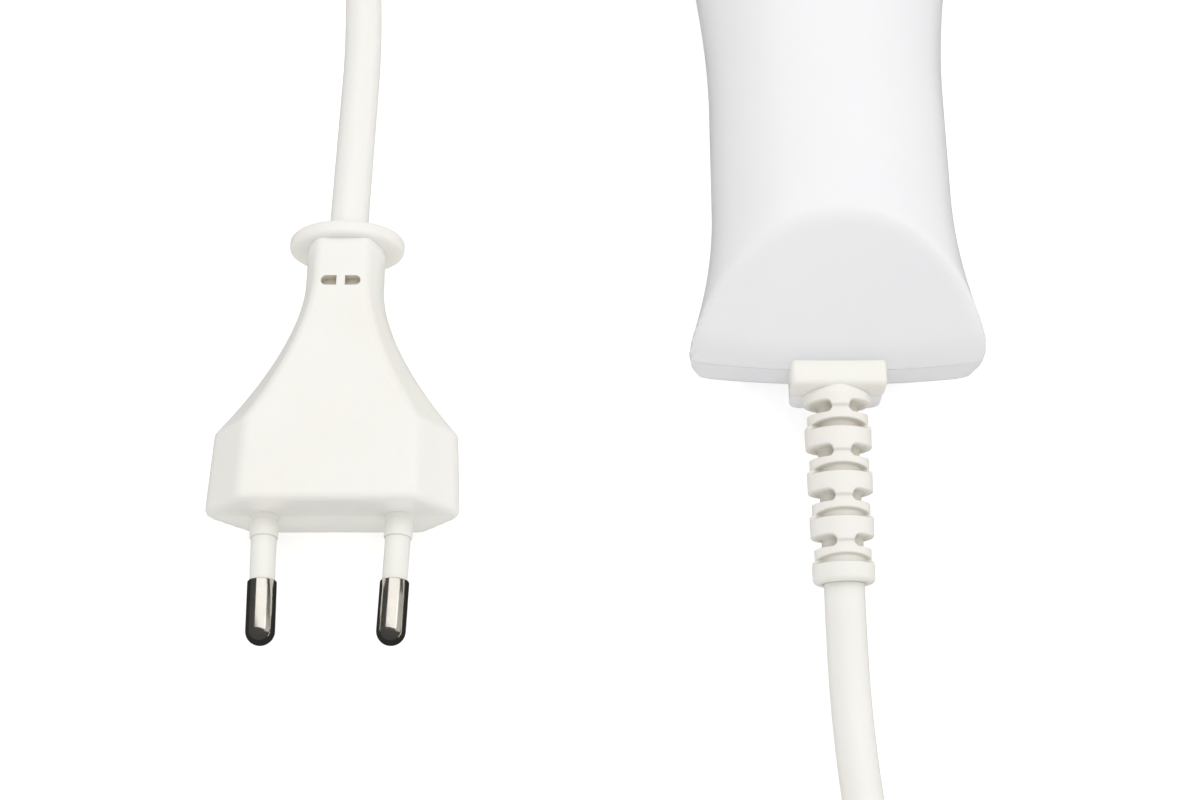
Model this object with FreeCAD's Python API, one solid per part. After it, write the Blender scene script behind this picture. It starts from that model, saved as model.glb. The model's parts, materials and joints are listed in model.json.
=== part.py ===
import FreeCAD, Part
import math
import os

# Corded light-pulse hair remover: handset, removable lamp attachment, mains cord and two-pin plug.
# Millimetres. +Z is up, +Y runs from the cord end of the handset to its lamp window, +X is to the right.
# The origin is on the supporting surface, under the middle of the handset.

V = FreeCAD.Vector
X_AXIS = V(1, 0, 0)
Y_AXIS = V(0, 1, 0)
Z_AXIS = V(0, 0, 1)

# Handset outline
overall_length = 170.0        # cord cradle lip to the tips of the contact pins
waist_width = 34.0
tail_flare = 4.55             # added to each side at the tail's end
tail_flare_length = 25.0
head_width = 60.0
neck_start = 42.0             # from the tail's end
head_start_from_front = 16.0  # full head size is reached this far behind the casing's mouth
handle_height = 30.0
head_height = 40.0
belly_flat_depth = 0.7        # the belly's curve is cut off this far up, as a flat to rest on
section_power = 2.25          # superellipse exponent of the cross-section
wall = 2.0
parting_height = 13.0
seam_gap = 0.15

# Flared tail
tail_edge_low = 7.0
tail_edge_high = 15.0
tail_width = 42.2
facet_length = 15.7
belly_facet_length = 14.0
tail_bulge = 1.2
tail_corner_radius = 1.2
tail_edge_radius = 3.0

# Clearances
moving_gap = 0.35             # between surfaces of parts that move past each other
seat_gap = 0.15               # between fixed parts that are only placed side by side
shaft_gap = 0.05              # radial, fan rotor on its shaft

# Cord, strain relief and cradle
cord_diameter = 5.6
collar_width = 13.3
collar_top = 15.05
collar_split = 10.5            # the collar's half above, the lower shell's cradle below
collar_depth = 2.8            # outside the tail
collar_inside = 4.0
collar_flange = 1.5
cradle_low = 6.2
cradle_setback = 0.2
relief_length = 26.3
relief_radius_start = 4.7
relief_radius_end = 4.25
relief_core_radius = 3.35
relief_slot = 1.5
relief_first_slot = 2.0       # from the collar's face to the first pair of side slots
relief_slot_pitch = 6.25
relief_slot_pairs = 4
relief_notch_offset = 2.4     # from a pair of side slots to the notches in front and behind
relief_step = 0.45            # how much thinner the sleeve is between a slot and its notch
relief_rib = 2.8
relief_droop = 10.0           # degrees below level
relief_lean = -0.7            # degrees to the left

# Fan and cooling
fan_size = head_width * 7 / 15
fan_depth = 10.0
fan_bore_radius = fan_size / 2 - 1.4
fan_hub_radius = 5.0
fan_blade_count = 7
fan_blade_thickness = 0.8
fan_shaft_radius = 1.0
vent_length = 12.0
vent_height = 12.0
vent_bar_pitch = 2.4
vent_slot = 1.2

# Lamp, window and attachment
window_width = head_width / 2
window_height = 12.0
funnel_wall = 1.2
attachment_length = 15.8
attachment_tip_width = 46.0
attachment_tip_height = 25.0
lamp_housing_width = head_width * 0.7
lamp_housing_height = 24.0
lamp_housing_depth = 24.0
flash_lamp_radius = 2.5
glass_thickness = 1.5
bezel_thickness = 2.0
contact_pin_radius = 1.5
contact_pin_proud = 0.8
contact_travel = 0.8
magnet_radius = 2.5
magnet_thickness = 1.0
lens_radius = 2.0

# Buttons and boards
button_proud = 0.7
pulse_travel = 1.0
level_travel = 0.8
pulse_button_length = 17.0
pulse_button_width = 11.0
level_button_length = 10.0
level_button_width = 9.0
pulse_button_place = 92.0     # from the tail's end
level_button_place = 66.0
level_count = 5
level_pitch = 2.0
light_pipe_radius = 0.7
board_thickness = 1.6
power_board_height = 5.0
control_board_height = 21.4
switch_height = 2.5
transformer_length = 16.0
transformer_width = 20.0
transformer_height = 13.0
capacitor_radius = 7.0

# Fixings
screw_head_radius = 2.2
screw_head_height = 1.6
screw_radius = 1.1
screw_grip = 6.0
boss_radius = 3.0
tail_screw_x = 11.0
tail_screw_setback = 9.5      # from the tail's end
tail_screw_seat = 7.0
head_screw_seat = 5.5
head_screw_inset = 4.6        # from the inside of the wall
recess = 0.6                  # depth of the drive left uncut in a screw's head
clamp_half = 7.0
clamp_screw_radius = 0.8
clamp_place = 9.0             # from the tail's end
clamp_length = 4.0

# Board parts, placed from the tail's end
board_start = 15.0
terminal_start = 17.5
terminal_end = 27.0
terminal_half = 6.0
terminal_height = 8.0
terminal_pitch = 6.0
fuse_x = -7.0
fuse_radius = 2.3
fuse_length = 10.0
fuse_start = 29.5
fuse_cap_radius = 2.6
fuse_cap_length = 2.5
choke_x = 4.0
choke_place = 34.0
choke_radius = 5.2
choke_bore = 2.2
choke_height = 6.0
core_limb = 3.0

# Intake slots in the belly, under the heat sink
intake_count = 5
intake_pitch = 5.0
intake_half_width = 0.9

# Plug
plug_x = -70.0
plug_face_y = -101.4
plug_face_width = 35.3
plug_face_flat = 24.4
plug_thickness = 13.7
plug_side_height = 2.0
plug_straight = 12.0
plug_flare = 23.2
plug_neck_length = 5.8
plug_neck_width = 11.2
plug_neck_flat = 7.4
plug_neck_thickness = 10.6
plug_collar_width = 16.7
plug_collar_height = 13.0
plug_collar_thickness = 2.5
plug_pin_length = 18.5
plug_pin_radius = 2.0
plug_sleeve_radius = 1.75
plug_boss_length = 3.2
plug_metal_length = 9.0
plug_pin_spacing_base = 18.6
plug_pin_spacing_tip = 17.5

# Spare cord coil
coil_centre_x = -74.0
coil_centre_y = 82.0
coil_turn_radius = 37.5       # centreline of the outermost turn
coil_turns_per_layer = 3.125
coil_lift = 0.8
tie_width = 6.0

# Derived places
tail_y = -overall_length / 2 + collar_depth
tip_y = overall_length / 2 - contact_pin_proud
attachment_y = tip_y - attachment_length
mouth_y = attachment_y - moving_gap
head_full_y = mouth_y - head_start_from_front
head_axis_z = head_height / 2
cord_axis_z = collar_top - relief_radius_start
cord_radius = cord_diameter / 2
bezel_y = mouth_y - bezel_thickness
glass_y = bezel_y - seat_gap - glass_thickness
lamp_front_y = glass_y - seat_gap
lamp_rear_y = lamp_front_y - lamp_housing_depth
heat_sink_depth = 7.0
fan_front_y = lamp_rear_y - heat_sink_depth - 1.0
fan_rear_y = fan_front_y - fan_depth
bay_end_y = fan_rear_y - 2.0
board_top = power_board_height + board_thickness
control_top = control_board_height + board_thickness
switch_top = control_top + switch_height
board_half_width = waist_width / 2 - wall - 4.5
pulse_y = tail_y + pulse_button_place
level_y = tail_y + level_button_place
pipes_y = (pulse_y - pulse_button_length / 2 + level_y + level_button_length / 2) / 2
control_start_y = level_y - level_button_length / 2 - 4.0
control_end_y = pulse_y + pulse_button_length / 2 + 1.5
transformer_y = tail_y + 41.0
capacitor_y = transformer_y + transformer_length + 2.0
capacitor_z = board_top + seat_gap + capacitor_radius
collar_y = tail_y - collar_depth
window_half = window_width / 2
window_half_height = window_height / 2
funnel_half = window_half + funnel_wall
funnel_half_height = window_half_height + funnel_wall
attachment_wall = 1.8
attachment_plate = 2.0
contact_pin_x = funnel_half + contact_pin_radius + 1.6
magnet_x = funnel_half + 6.0


def box(x0, x1, y0, y1, z0, z1):
    return Part.makeBox(x1 - x0, y1 - y0, z1 - z0, V(x0, y0, z0))


def cylinder(x, y, z, axis, radius, length):
    return Part.makeCylinder(radius, length, V(x, y, z), axis)


def join(shapes):
    whole = shapes[0]
    if len(shapes) > 1:
        whole = whole.fuse(shapes[1:])
    return whole.removeSplitter()


def group(shapes):
    return Part.makeCompound(shapes)


def largest_solid(shape):
    return max(shape.Solids, key=lambda solid: solid.Volume)


def smooth_step(share):
    share = min(max(share, 0.0), 1.0)
    return share * share * (3.0 - 2.0 * share)


# ---------------------------------------------------------------- handset outline

def half_width(y):
    from_tail = y - tail_y
    flare = max(1.0 - from_tail / tail_flare_length, 0.0) ** 2
    head = smooth_step((from_tail - neck_start) / (head_full_y - tail_y - neck_start))
    return waist_width / 2 + tail_flare * flare + (head_width - waist_width) / 2 * head


def top_height(y):
    head = smooth_step((y - tail_y - neck_start) / (head_full_y - tail_y - neck_start))
    return handle_height + (head_height - handle_height) * head


def superellipse(y, half, low, high, count=28):
    middle = (low + high) / 2
    rise = (high - low) / 2
    points = []
    for index in range(count):
        angle = 2 * math.pi * index / count - math.pi / 2
        across = math.copysign(abs(math.cos(angle)) ** (2 / section_power), math.cos(angle))
        upward = math.copysign(abs(math.sin(angle)) ** (2 / section_power), math.sin(angle))
        points.append(V(half * across, y, middle + rise * upward))
    curve = Part.BSplineCurve()
    curve.interpolate(Points=points, PeriodicFlag=True)
    return Part.Wire([curve.toShape()])


def handle_section(y, inset):
    return superellipse(y, half_width(y) - inset, inset - belly_flat_depth, top_height(y) - inset)


def surface_height(x, y, inset):
    """Height of the upper surface, or of its inset copy, above the point x, y."""
    half = half_width(y) - inset
    low = inset - belly_flat_depth
    high = top_height(y) - inset
    share = (1.0 - min(abs(x) / half, 1.0) ** section_power) ** (1 / section_power)
    return (low + high) / 2 + (high - low) / 2 * share


def tail_side_prism(inset):
    """Side outline of the tail: two sloping facets and the narrow rounded end between them."""
    steep = (handle_height - tail_edge_high) / facet_length
    gentle = tail_edge_low / belly_facet_length
    far = 60.0

    def upper(distance):
        return tail_edge_high + steep * distance - inset * math.hypot(1, steep)

    def lower(distance):
        return tail_edge_low - gentle * distance + inset * math.hypot(1, gentle)

    corners = [
        (inset, lower(inset)),
        (inset, upper(inset)),
        (far, upper(far)),
        (2 * overall_length, upper(far)),
        (2 * overall_length, lower(far)),
        (far, lower(far)),
    ]
    points = [V(-head_width, tail_y + distance, z) for distance, z in corners]
    prism = Part.Face(Part.makePolygon(points + points[:1])).extrude(X_AXIS * 2 * head_width)
    end_edges = []
    for edge in prism.Edges:
        centre = edge.CenterOfMass
        if abs(centre.x) < 0.01 and abs(centre.y - tail_y - inset) < 0.01:
            end_edges.append(edge)
    return prism.makeFillet(tail_edge_radius - 0.6 * inset, end_edges)


def tail_plan_prism(inset):
    """Plan outline of the tail: a slightly bulging end with round corners."""
    radius = tail_corner_radius
    half = tail_width / 2 - inset
    end = tail_y + inset
    shoulder = end + tail_bulge
    diagonal = radius * math.sqrt(0.5)
    corner = V(half - radius, shoulder + radius, -1)
    left = V(radius - half, shoulder, -1)
    right = V(half - radius, shoulder, -1)
    right_end = V(half, corner.y, -1)
    left_end = V(-half, corner.y, -1)
    far_right = V(head_width, corner.y + 6, -1)
    far_left = V(-head_width, corner.y + 6, -1)
    front_right = V(head_width, overall_length, -1)
    front_left = V(-head_width, overall_length, -1)
    edges = [
        Part.Arc(left, V(0, end, -1), right).toShape(),
        Part.Arc(right, V(corner.x + diagonal, corner.y - diagonal, -1), right_end).toShape(),
        Part.LineSegment(right_end, far_right).toShape(),
        Part.LineSegment(far_right, front_right).toShape(),
        Part.LineSegment(front_right, front_left).toShape(),
        Part.LineSegment(front_left, far_left).toShape(),
        Part.LineSegment(far_left, left_end).toShape(),
        Part.Arc(left_end, V(-corner.x - diagonal, corner.y - diagonal, -1), left).toShape(),
    ]
    return Part.Face(Part.Wire(edges)).extrude(Z_AXIS * 2 * head_height)


def handset_hull(inset):
    """The handset's outline as one solid, inset all round, running on past the casing's mouth."""
    tail_places = [tail_y - 4 + 5 * index for index in range(6)]
    start = tail_places[-1] + 7
    finish = mouth_y + 4
    head_places = [start + (finish - start) * index / 9 for index in range(10)]
    loft = Part.makeLoft([handle_section(y, inset) for y in tail_places + head_places], True, False)
    above_floor = box(-head_width, head_width, -overall_length, overall_length, inset, 3 * head_height)
    return loft.common(tail_side_prism(inset)).common(tail_plan_prism(inset)).common(above_floor)


def slab(y0, y1, z0=-5.0, z1=100.0):
    return box(-head_width, head_width, y0, y1, z0, z1)


outer_hull = handset_hull(0).common(slab(-overall_length, mouth_y))
inner_hull = handset_hull(wall)


# ---------------------------------------------------------------- casing

def tail_screw_places():
    return [(side * tail_screw_x, tail_y + tail_screw_setback, tail_screw_seat) for side in (-1, 1)]


def head_screw_places():
    y = fan_rear_y - 1.5
    x = half_width(y) - wall - head_screw_inset
    return [(side * x, y, head_screw_seat) for side in (-1, 1)]


def screw(x, y, seat):
    head = cylinder(x, y, seat - screw_head_height, Z_AXIS, screw_head_radius, screw_head_height)
    shank = cylinder(x, y, seat, Z_AXIS, screw_radius, parting_height - seat + screw_grip)
    cross = join([
        box(x - 1.3, x + 1.3, y - 0.3, y + 0.3, seat - screw_head_height, seat - recess),
        box(x - 0.3, x + 0.3, y - 1.3, y + 1.3, seat - screw_head_height, seat - recess),
    ])
    return join([head, shank]).cut(cross)


def stadium(y, length, width, z0, z1):
    """Upright block with a racetrack outline, its long side along Y."""
    radius = width / 2
    straight = length / 2 - radius
    block = box(-radius, radius, y - straight, y + straight, z0, z1)
    ends = [cylinder(0, y + side * straight, z0, Z_AXIS, radius, z1 - z0) for side in (-1, 1)]
    return join([block] + ends)


def collar_block(gap):
    """The strain relief's collar, its inner flange and its round root, grown by a gap."""
    half = collar_width / 2 + gap
    back = tail_y + collar_inside + gap
    through = box(-half, half, collar_y, back, collar_split - gap, collar_top + gap)
    flange_y = tail_y + wall + tail_bulge * 0.25
    flange_half = half + collar_flange
    flange = box(-flange_half, flange_half, flange_y, back, collar_split - gap, collar_top + gap)
    root = cylinder(0, collar_y, cord_axis_z, Y_AXIS, relief_radius_start - 0.1 + gap, back - collar_y)
    return join([through, flange, root])


def cradle():
    """Square snout of the lower shell that holds the collar from below."""
    half = collar_width / 2 - 0.1
    block = box(-half, half, collar_y + cradle_setback, tail_y + collar_inside,
                cradle_low, collar_split - seat_gap)
    long_edges = [edge for edge in block.Edges
                  if abs(edge.CenterOfMass.z - cradle_low) < 0.01 and abs(edge.tangentAt(0).y) > 0.9]
    return block.makeFillet(1.4, long_edges)


def vent_block(side, gap):
    y = fan_rear_y + fan_depth / 2
    z = parting_height + 3.0
    block = box(12, head_width, y - vent_length / 2 - gap, y + vent_length / 2 + gap,
                z - gap, z + vent_height + gap)
    if side < 0:
        block = block.mirror(V(0, 0, 0), X_AXIS)
    return block


def button_seat_height(y, length, width):
    """Underside of the upper shell where a button's flange comes nearest to it, less the gap."""
    reach = moving_gap + 1.0
    return surface_height(width / 2 + reach, y - length / 2 - reach, wall) - moving_gap


def button(y, length, width, travel):
    flange_top = button_seat_height(y, length, width)
    proud_hull = outer_hull.copy()
    proud_hull.translate(Z_AXIS * button_proud)
    cap = stadium(y, length, width, flange_top, 2 * head_height).common(proud_hull)
    grown = 2 * moving_gap + 2.0
    flange = stadium(y, length + grown, width + grown, flange_top - 1.0, flange_top)
    stem_low = switch_top + travel + moving_gap
    stem = cylinder(0, y, stem_low, Z_AXIS, 1.8, flange_top - stem_low)
    return join([cap, flange, stem])


def button_hole(y, length, width):
    grown = 2 * moving_gap
    return stadium(y, length + grown, width + grown, control_top, 2 * head_height)


def control_posts():
    places = [(side * (board_half_width - 1.6), y) for side in (-1, 1)
              for y in (control_start_y + 1.6, control_end_y - 1.6)]
    return [cylinder(x, y, control_top, Z_AXIS, 1.2, head_height).common(outer_hull) for x, y in places]


def light_pipe_places():
    first = pipes_y - level_pitch * (level_count - 1) / 2
    return [first + level_pitch * index for index in range(level_count)]


def upper_shell():
    above = slab(-overall_length, mouth_y, parting_height + seam_gap)
    parts = [outer_hull.cut(inner_hull).common(above)]
    for x, y, seat in tail_screw_places() + head_screw_places():
        parts.append(cylinder(x, y, 0, Z_AXIS, boss_radius, head_height).common(outer_hull).common(above))
    parts += control_posts()
    shell = join(parts)
    shell = shell.cut(collar_block(seat_gap))
    for x, y, seat in tail_screw_places() + head_screw_places():
        shell = shell.cut(cylinder(x, y, parting_height, Z_AXIS, screw_radius, screw_grip + 0.5))
    shell = shell.cut(button_hole(pulse_y, pulse_button_length, pulse_button_width))
    shell = shell.cut(button_hole(level_y, level_button_length, level_button_width))
    for y in light_pipe_places():
        shell = shell.cut(cylinder(0, y, control_top, Z_AXIS, light_pipe_radius + 0.05, head_height))
    for side in (-1, 1):
        shell = shell.cut(vent_block(side, seat_gap))
    return largest_solid(shell)


def cord_saddle():
    y = tail_y + clamp_place
    half = clamp_length / 2
    return box(-clamp_half, clamp_half, y - half, y + half, 0, cord_axis_z - 0.5).common(outer_hull)


def lower_shell():
    below = slab(-overall_length, mouth_y, -5, parting_height)
    parts = [outer_hull.cut(inner_hull).common(below), cord_saddle()]
    for x, y, seat in tail_screw_places() + head_screw_places():
        parts.append(cylinder(x, y, 0, Z_AXIS, boss_radius, parting_height).common(outer_hull))
    for side in (-1, 1):
        for y in (tail_y + 19, bay_end_y - 4):
            post = cylinder(side * (board_half_width - 2.5), y, 0, Z_AXIS, 1.6, power_board_height)
            parts.append(post.common(outer_hull))
    parts.append(cradle())
    shell = join(parts).cut(collar_block(seat_gap)).cut(relief_sleeve(seat_gap))
    shell = shell.cut(cylinder(0, tail_y + 3, cord_axis_z, Y_AXIS, cord_radius + 0.05, 12))
    for x, y, seat in tail_screw_places() + head_screw_places():
        shell = shell.cut(cylinder(x, y, -1, Z_AXIS, screw_head_radius + seat_gap, seat + 1))
        shell = shell.cut(cylinder(x, y, 0, Z_AXIS, screw_radius, parting_height))
    for x in clamp_screw_x():
        shell = shell.cut(cylinder(x, tail_y + clamp_place, cord_axis_z - 5, Z_AXIS, clamp_screw_radius, 5))
    slot_y = lamp_rear_y - heat_sink_depth
    for index in range(intake_count):
        x = (index - (intake_count - 1) / 2) * intake_pitch
        shell = shell.cut(box(x - intake_half_width, x + intake_half_width, slot_y - 6, slot_y + 8,
                              -1, wall + 1))
    return largest_solid(shell)


def vent_grille(side):
    ring = outer_hull.cut(inner_hull)
    grille = ring.common(vent_block(side, 0))
    y = fan_rear_y + fan_depth / 2
    count = int((vent_length - 2) / vent_bar_pitch)
    z0 = parting_height + 4.2
    for index in range(count):
        centre = y + (index - (count - 1) / 2) * vent_bar_pitch
        grille = grille.cut(box(-head_width, head_width, centre - vent_slot / 2, centre + vent_slot / 2,
                                z0, z0 + vent_height - 2.4))
    return largest_solid(grille)


def head_bezel():
    hull = handset_hull(wall + seat_gap)
    plate = hull.common(slab(bezel_y, mouth_y))
    half = funnel_half + moving_gap
    half_height = funnel_half_height + moving_gap
    plate = plate.cut(box(-half, half, bezel_y - 1, mouth_y + 1,
                          head_axis_z - half_height, head_axis_z + half_height))
    for side in (-1, 1):
        plate = plate.cut(cylinder(side * magnet_x, mouth_y - magnet_thickness, head_axis_z, Y_AXIS,
                                   magnet_radius, magnet_thickness + 1))
    return largest_solid(plate)


def light_pipes():
    pipes = []
    for y in light_pipe_places():
        rod = cylinder(0, y, control_top + 1.2, Z_AXIS, light_pipe_radius, head_height)
        pipes.append(rod.common(outer_hull))
    places = light_pipe_places()
    bar = box(-1.3, 1.3, places[0] - 1, places[-1] + 1, control_top + 2.0, control_top + 3.2)
    return join([bar] + pipes)


# ---------------------------------------------------------------- boards and power

def control_board():
    board = box(-board_half_width, board_half_width, control_start_y, control_end_y,
                control_board_height, control_top)
    chip = box(-3, 3, pipes_y - 3, pipes_y + 3, control_board_height - 0.4, control_board_height)
    return board.fuse(chip).removeSplitter()


def tact_switch(y):
    body = box(-3, 3, y - 3, y + 3, control_top, switch_top - 0.8)
    knob = cylinder(0, y, switch_top - 0.8, Z_AXIS, 1.6, 0.8)
    return join([body, knob])


def level_leds():
    return group([box(-0.8, 0.8, y - 0.6, y + 0.6, control_top, control_top + 0.8)
                  for y in light_pipe_places()])


def power_board():
    return box(-board_half_width, board_half_width, tail_y + board_start, bay_end_y,
               power_board_height, board_top)


def terminal_block():
    body = box(-terminal_half, terminal_half, tail_y + terminal_start, tail_y + terminal_end,
               board_top, board_top + terminal_height)
    for side in (-1, 1):
        x = side * terminal_pitch / 2
        body = body.cut(cylinder(x, tail_y + terminal_end - 4, board_top + 4, Z_AXIS, 1.6, terminal_height))
        body = body.cut(cylinder(x, tail_y + terminal_start - 0.5, board_top + 3.5, Y_AXIS, 1.3, 5))
    return body


def fuse():
    z = board_top + fuse_cap_radius + 0.1
    glass = cylinder(fuse_x, tail_y + fuse_start, z, Y_AXIS, fuse_radius, fuse_length)
    cap_places = (fuse_start - 1, fuse_start + fuse_length + 1 - fuse_cap_length)
    caps = [cylinder(fuse_x, tail_y + y, z, Y_AXIS, fuse_cap_radius, fuse_cap_length) for y in cap_places]
    return join([glass] + caps)


def filter_choke():
    y = tail_y + choke_place
    ring = cylinder(choke_x, y, board_top, Z_AXIS, choke_radius, choke_height)
    return ring.cut(cylinder(choke_x, y, board_top - 1, Z_AXIS, choke_bore, choke_height + 2))


def transformer_core():
    half = transformer_width / 2
    y0 = transformer_y + core_limb
    y1 = transformer_y + transformer_length - core_limb
    top = board_top + transformer_height
    core = box(-half, half, y0, y1, board_top, top)
    window = box(-half + core_limb, half - core_limb, transformer_y, transformer_y + transformer_length,
                 board_top + core_limb, top - core_limb)
    leg = box(-core_limb, core_limb, y0, y1, board_top + core_limb - 1, top - core_limb + 1)
    return core.cut(window).fuse(leg).removeSplitter()


def transformer_winding():
    half = transformer_width / 2 - core_limb - seat_gap
    y0 = transformer_y
    y1 = transformer_y + transformer_length
    leg = core_limb + seat_gap
    coil = box(-half, half, y0, y1, board_top + leg, board_top + transformer_height - leg)
    return coil.cut(box(-leg, leg, y0 + core_limb - seat_gap, y1 - core_limb + seat_gap,
                        board_top, board_top + transformer_height))


def flash_capacitor(side):
    length = bay_end_y - 2 - capacitor_y
    can = cylinder(side * (capacitor_radius + 0.2), capacitor_y, capacitor_z, Y_AXIS,
                   capacitor_radius, length)
    groove = cylinder(side * (capacitor_radius + 0.2), capacitor_y + 2, capacitor_z, Y_AXIS,
                      capacitor_radius + 1, 0.8)
    groove = groove.cut(cylinder(side * (capacitor_radius + 0.2), capacitor_y + 1, capacitor_z, Y_AXIS,
                                 capacitor_radius - 0.5, 3))
    return can.cut(groove)


# ---------------------------------------------------------------- fan and lamp

fan_z = head_axis_z - 1.2
stator_thickness = 1.5
rotor_depth = 6.5
rotor_y = fan_rear_y + stator_thickness + moving_gap


def fan_housing():
    half = fan_size / 2
    frame = box(-half, half, fan_rear_y, fan_front_y, fan_z - half, fan_z + half)
    frame = frame.cut(cylinder(0, fan_rear_y - 1, fan_z, Y_AXIS, fan_bore_radius, fan_depth + 2))
    parts = [frame, cylinder(0, fan_rear_y, fan_z, Y_AXIS, fan_hub_radius, stator_thickness)]
    for index in range(3):
        strut = box(-1, 1, fan_rear_y, fan_rear_y + stator_thickness, fan_z, fan_z + fan_bore_radius + 0.5)
        strut.rotate(V(0, 0, fan_z), Y_AXIS, 120 * index)
        parts.append(strut)
    return join(parts).cut(cylinder(0, fan_rear_y - 1, fan_z, Y_AXIS, fan_shaft_radius, fan_depth))


def fan_shaft():
    reach = stator_thickness + moving_gap + rotor_depth + moving_gap
    shaft = cylinder(0, fan_rear_y, fan_z, Y_AXIS, fan_shaft_radius, reach)
    clip = cylinder(0, fan_rear_y + reach, fan_z, Y_AXIS, fan_shaft_radius + 0.8, 0.6)
    return join([shaft, clip])


def fan_rotor():
    tip = fan_bore_radius - 0.6
    parts = [cylinder(0, rotor_y, fan_z, Y_AXIS, fan_hub_radius, rotor_depth)]
    middle = rotor_y + rotor_depth / 2
    for index in range(fan_blade_count):
        blade = box(-fan_blade_thickness / 2, fan_blade_thickness / 2, middle - 3, middle + 3,
                    fan_z + fan_hub_radius - 0.6, fan_z + tip + 0.5)
        blade.rotate(V(0, middle, fan_z), Z_AXIS, 38)
        blade.rotate(V(0, middle, fan_z), Y_AXIS, 360 * index / fan_blade_count)
        parts.append(blade.common(cylinder(0, rotor_y, fan_z, Y_AXIS, tip, rotor_depth)))
    return join(parts).cut(cylinder(0, rotor_y - 1, fan_z, Y_AXIS, fan_shaft_radius + shaft_gap,
                                    rotor_depth + 2))


def heat_sink():
    y1 = lamp_rear_y - seat_gap
    half = lamp_housing_width / 2 - 3
    half_height = lamp_housing_height / 2 - 3
    parts = [box(-half, half, y1 - 1.5, y1, head_axis_z - half_height, head_axis_z + half_height)]
    count = 9
    for index in range(count):
        x = (index - (count - 1) / 2) * (2 * half - 1) / (count - 1)
        parts.append(box(x - 0.5, x + 0.5, y1 - heat_sink_depth + 1, y1 - 1,
                         head_axis_z - half_height, head_axis_z + half_height))
    return join(parts)


def lamp_housing():
    half = lamp_housing_width / 2
    half_height = lamp_housing_height / 2
    thick = 1.6
    outside = box(-half, half, lamp_rear_y, lamp_front_y,
                  head_axis_z - half_height, head_axis_z + half_height)
    inside = box(-half + thick, half - thick, lamp_rear_y + thick, lamp_front_y + 1,
                 head_axis_z - half_height + thick, head_axis_z + half_height - thick)
    return outside.cut(inside)


reflector_half_height = window_half_height + 3.0
reflector_depth = 14.0
reflector_thickness = 0.6


def reflector():
    """Polished trough behind the flash lamp."""
    wires = []
    front = lamp_front_y - seat_gap
    for inset in (0, reflector_thickness):
        low = V(-window_half, front, head_axis_z - reflector_half_height + inset)
        high = V(-window_half, front, head_axis_z + reflector_half_height - inset)
        back = V(-window_half, front - reflector_depth + inset, head_axis_z)
        arc = Part.Arc(low, back, high).toShape()
        wires.append(Part.Wire([arc, Part.LineSegment(high, low).toShape()]))
    solids = [Part.Face(wire).extrude(X_AXIS * window_width) for wire in wires]
    return largest_solid(solids[0].cut(solids[1]))


lamp_y = lamp_front_y - reflector_depth / 2 - 1.5


def flash_lamp():
    return cylinder(-window_half, lamp_y, head_axis_z, X_AXIS, flash_lamp_radius, window_width)


def lamp_electrodes():
    reach = lamp_housing_width / 2 - 1.6 - window_half - seat_gap
    ends = [cylinder(window_half, lamp_y, head_axis_z, X_AXIS, flash_lamp_radius, reach),
            cylinder(-window_half - reach, lamp_y, head_axis_z, X_AXIS, flash_lamp_radius, reach)]
    return group(ends)


def filter_glass():
    half = funnel_half + 2.0
    half_height = funnel_half_height + 2.0
    return box(-half, half, glass_y, glass_y + glass_thickness,
               head_axis_z - half_height, head_axis_z + half_height)


def magnets(y):
    return group([cylinder(side * magnet_x, y, head_axis_z, Y_AXIS, magnet_radius, magnet_thickness)
                  for side in (-1, 1)])


# ---------------------------------------------------------------- removable attachment

def attachment_hull(inset):
    """Tapering nose that carries on from the casing's mouth to the treatment tip."""
    wires = []
    steps = 5
    for index in range(steps):
        share = index / (steps - 1)
        half = head_width / 2 + (attachment_tip_width - head_width) / 2 * share ** 2 - inset
        rise = (head_height + belly_flat_depth) / 2
        rise += (attachment_tip_height / 2 - rise) * share ** 2
        middle = (head_height - belly_flat_depth) / 2
        y = attachment_y + attachment_length * share
        wires.append(superellipse(y, half, middle - rise + inset, middle + rise - inset))
    loft = Part.makeLoft(wires, True, False)
    return loft.common(slab(attachment_y, tip_y, inset))


def attachment_body():
    cavity = attachment_hull(attachment_wall).common(slab(attachment_y, tip_y - attachment_plate))
    body = attachment_hull(0).cut(cavity)
    body = body.cut(box(-window_half, window_half, attachment_y, tip_y + 1,
                        head_axis_z - window_half_height, head_axis_z + window_half_height))
    for side in (-1, 1):
        body = body.cut(cylinder(side * contact_pin_x, attachment_y, head_axis_z, Y_AXIS,
                                 contact_pin_radius + moving_gap, attachment_length + 1))
    body = body.cut(cylinder(0, attachment_y, lens_z, Y_AXIS, lens_radius, attachment_length + 1))
    return largest_solid(body)


def attachment_back():
    plate = attachment_hull(attachment_wall + seat_gap)
    plate = plate.common(slab(attachment_y, attachment_y + attachment_plate))
    skirt_y = attachment_y - bezel_thickness + seat_gap
    tube = box(-funnel_half, funnel_half, skirt_y, tip_y - attachment_plate - seat_gap,
               head_axis_z - funnel_half_height, head_axis_z + funnel_half_height)
    hole = box(-window_half, window_half, skirt_y - 1, tip_y,
               head_axis_z - window_half_height, head_axis_z + window_half_height)
    back = join([plate, tube]).cut(hole)
    for side in (-1, 1):
        back = back.cut(cylinder(side * magnet_x, attachment_y - 1, head_axis_z, Y_AXIS,
                                 magnet_radius, 1 + magnet_thickness))
    return largest_solid(back)


lens_z = head_axis_z + funnel_half_height + lens_radius + 0.4


def skin_sensor_lens():
    return cylinder(0, tip_y - attachment_plate, lens_z, Y_AXIS, lens_radius, attachment_plate)


contact_pin_rear = tip_y - attachment_plate - 3.0


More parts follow.
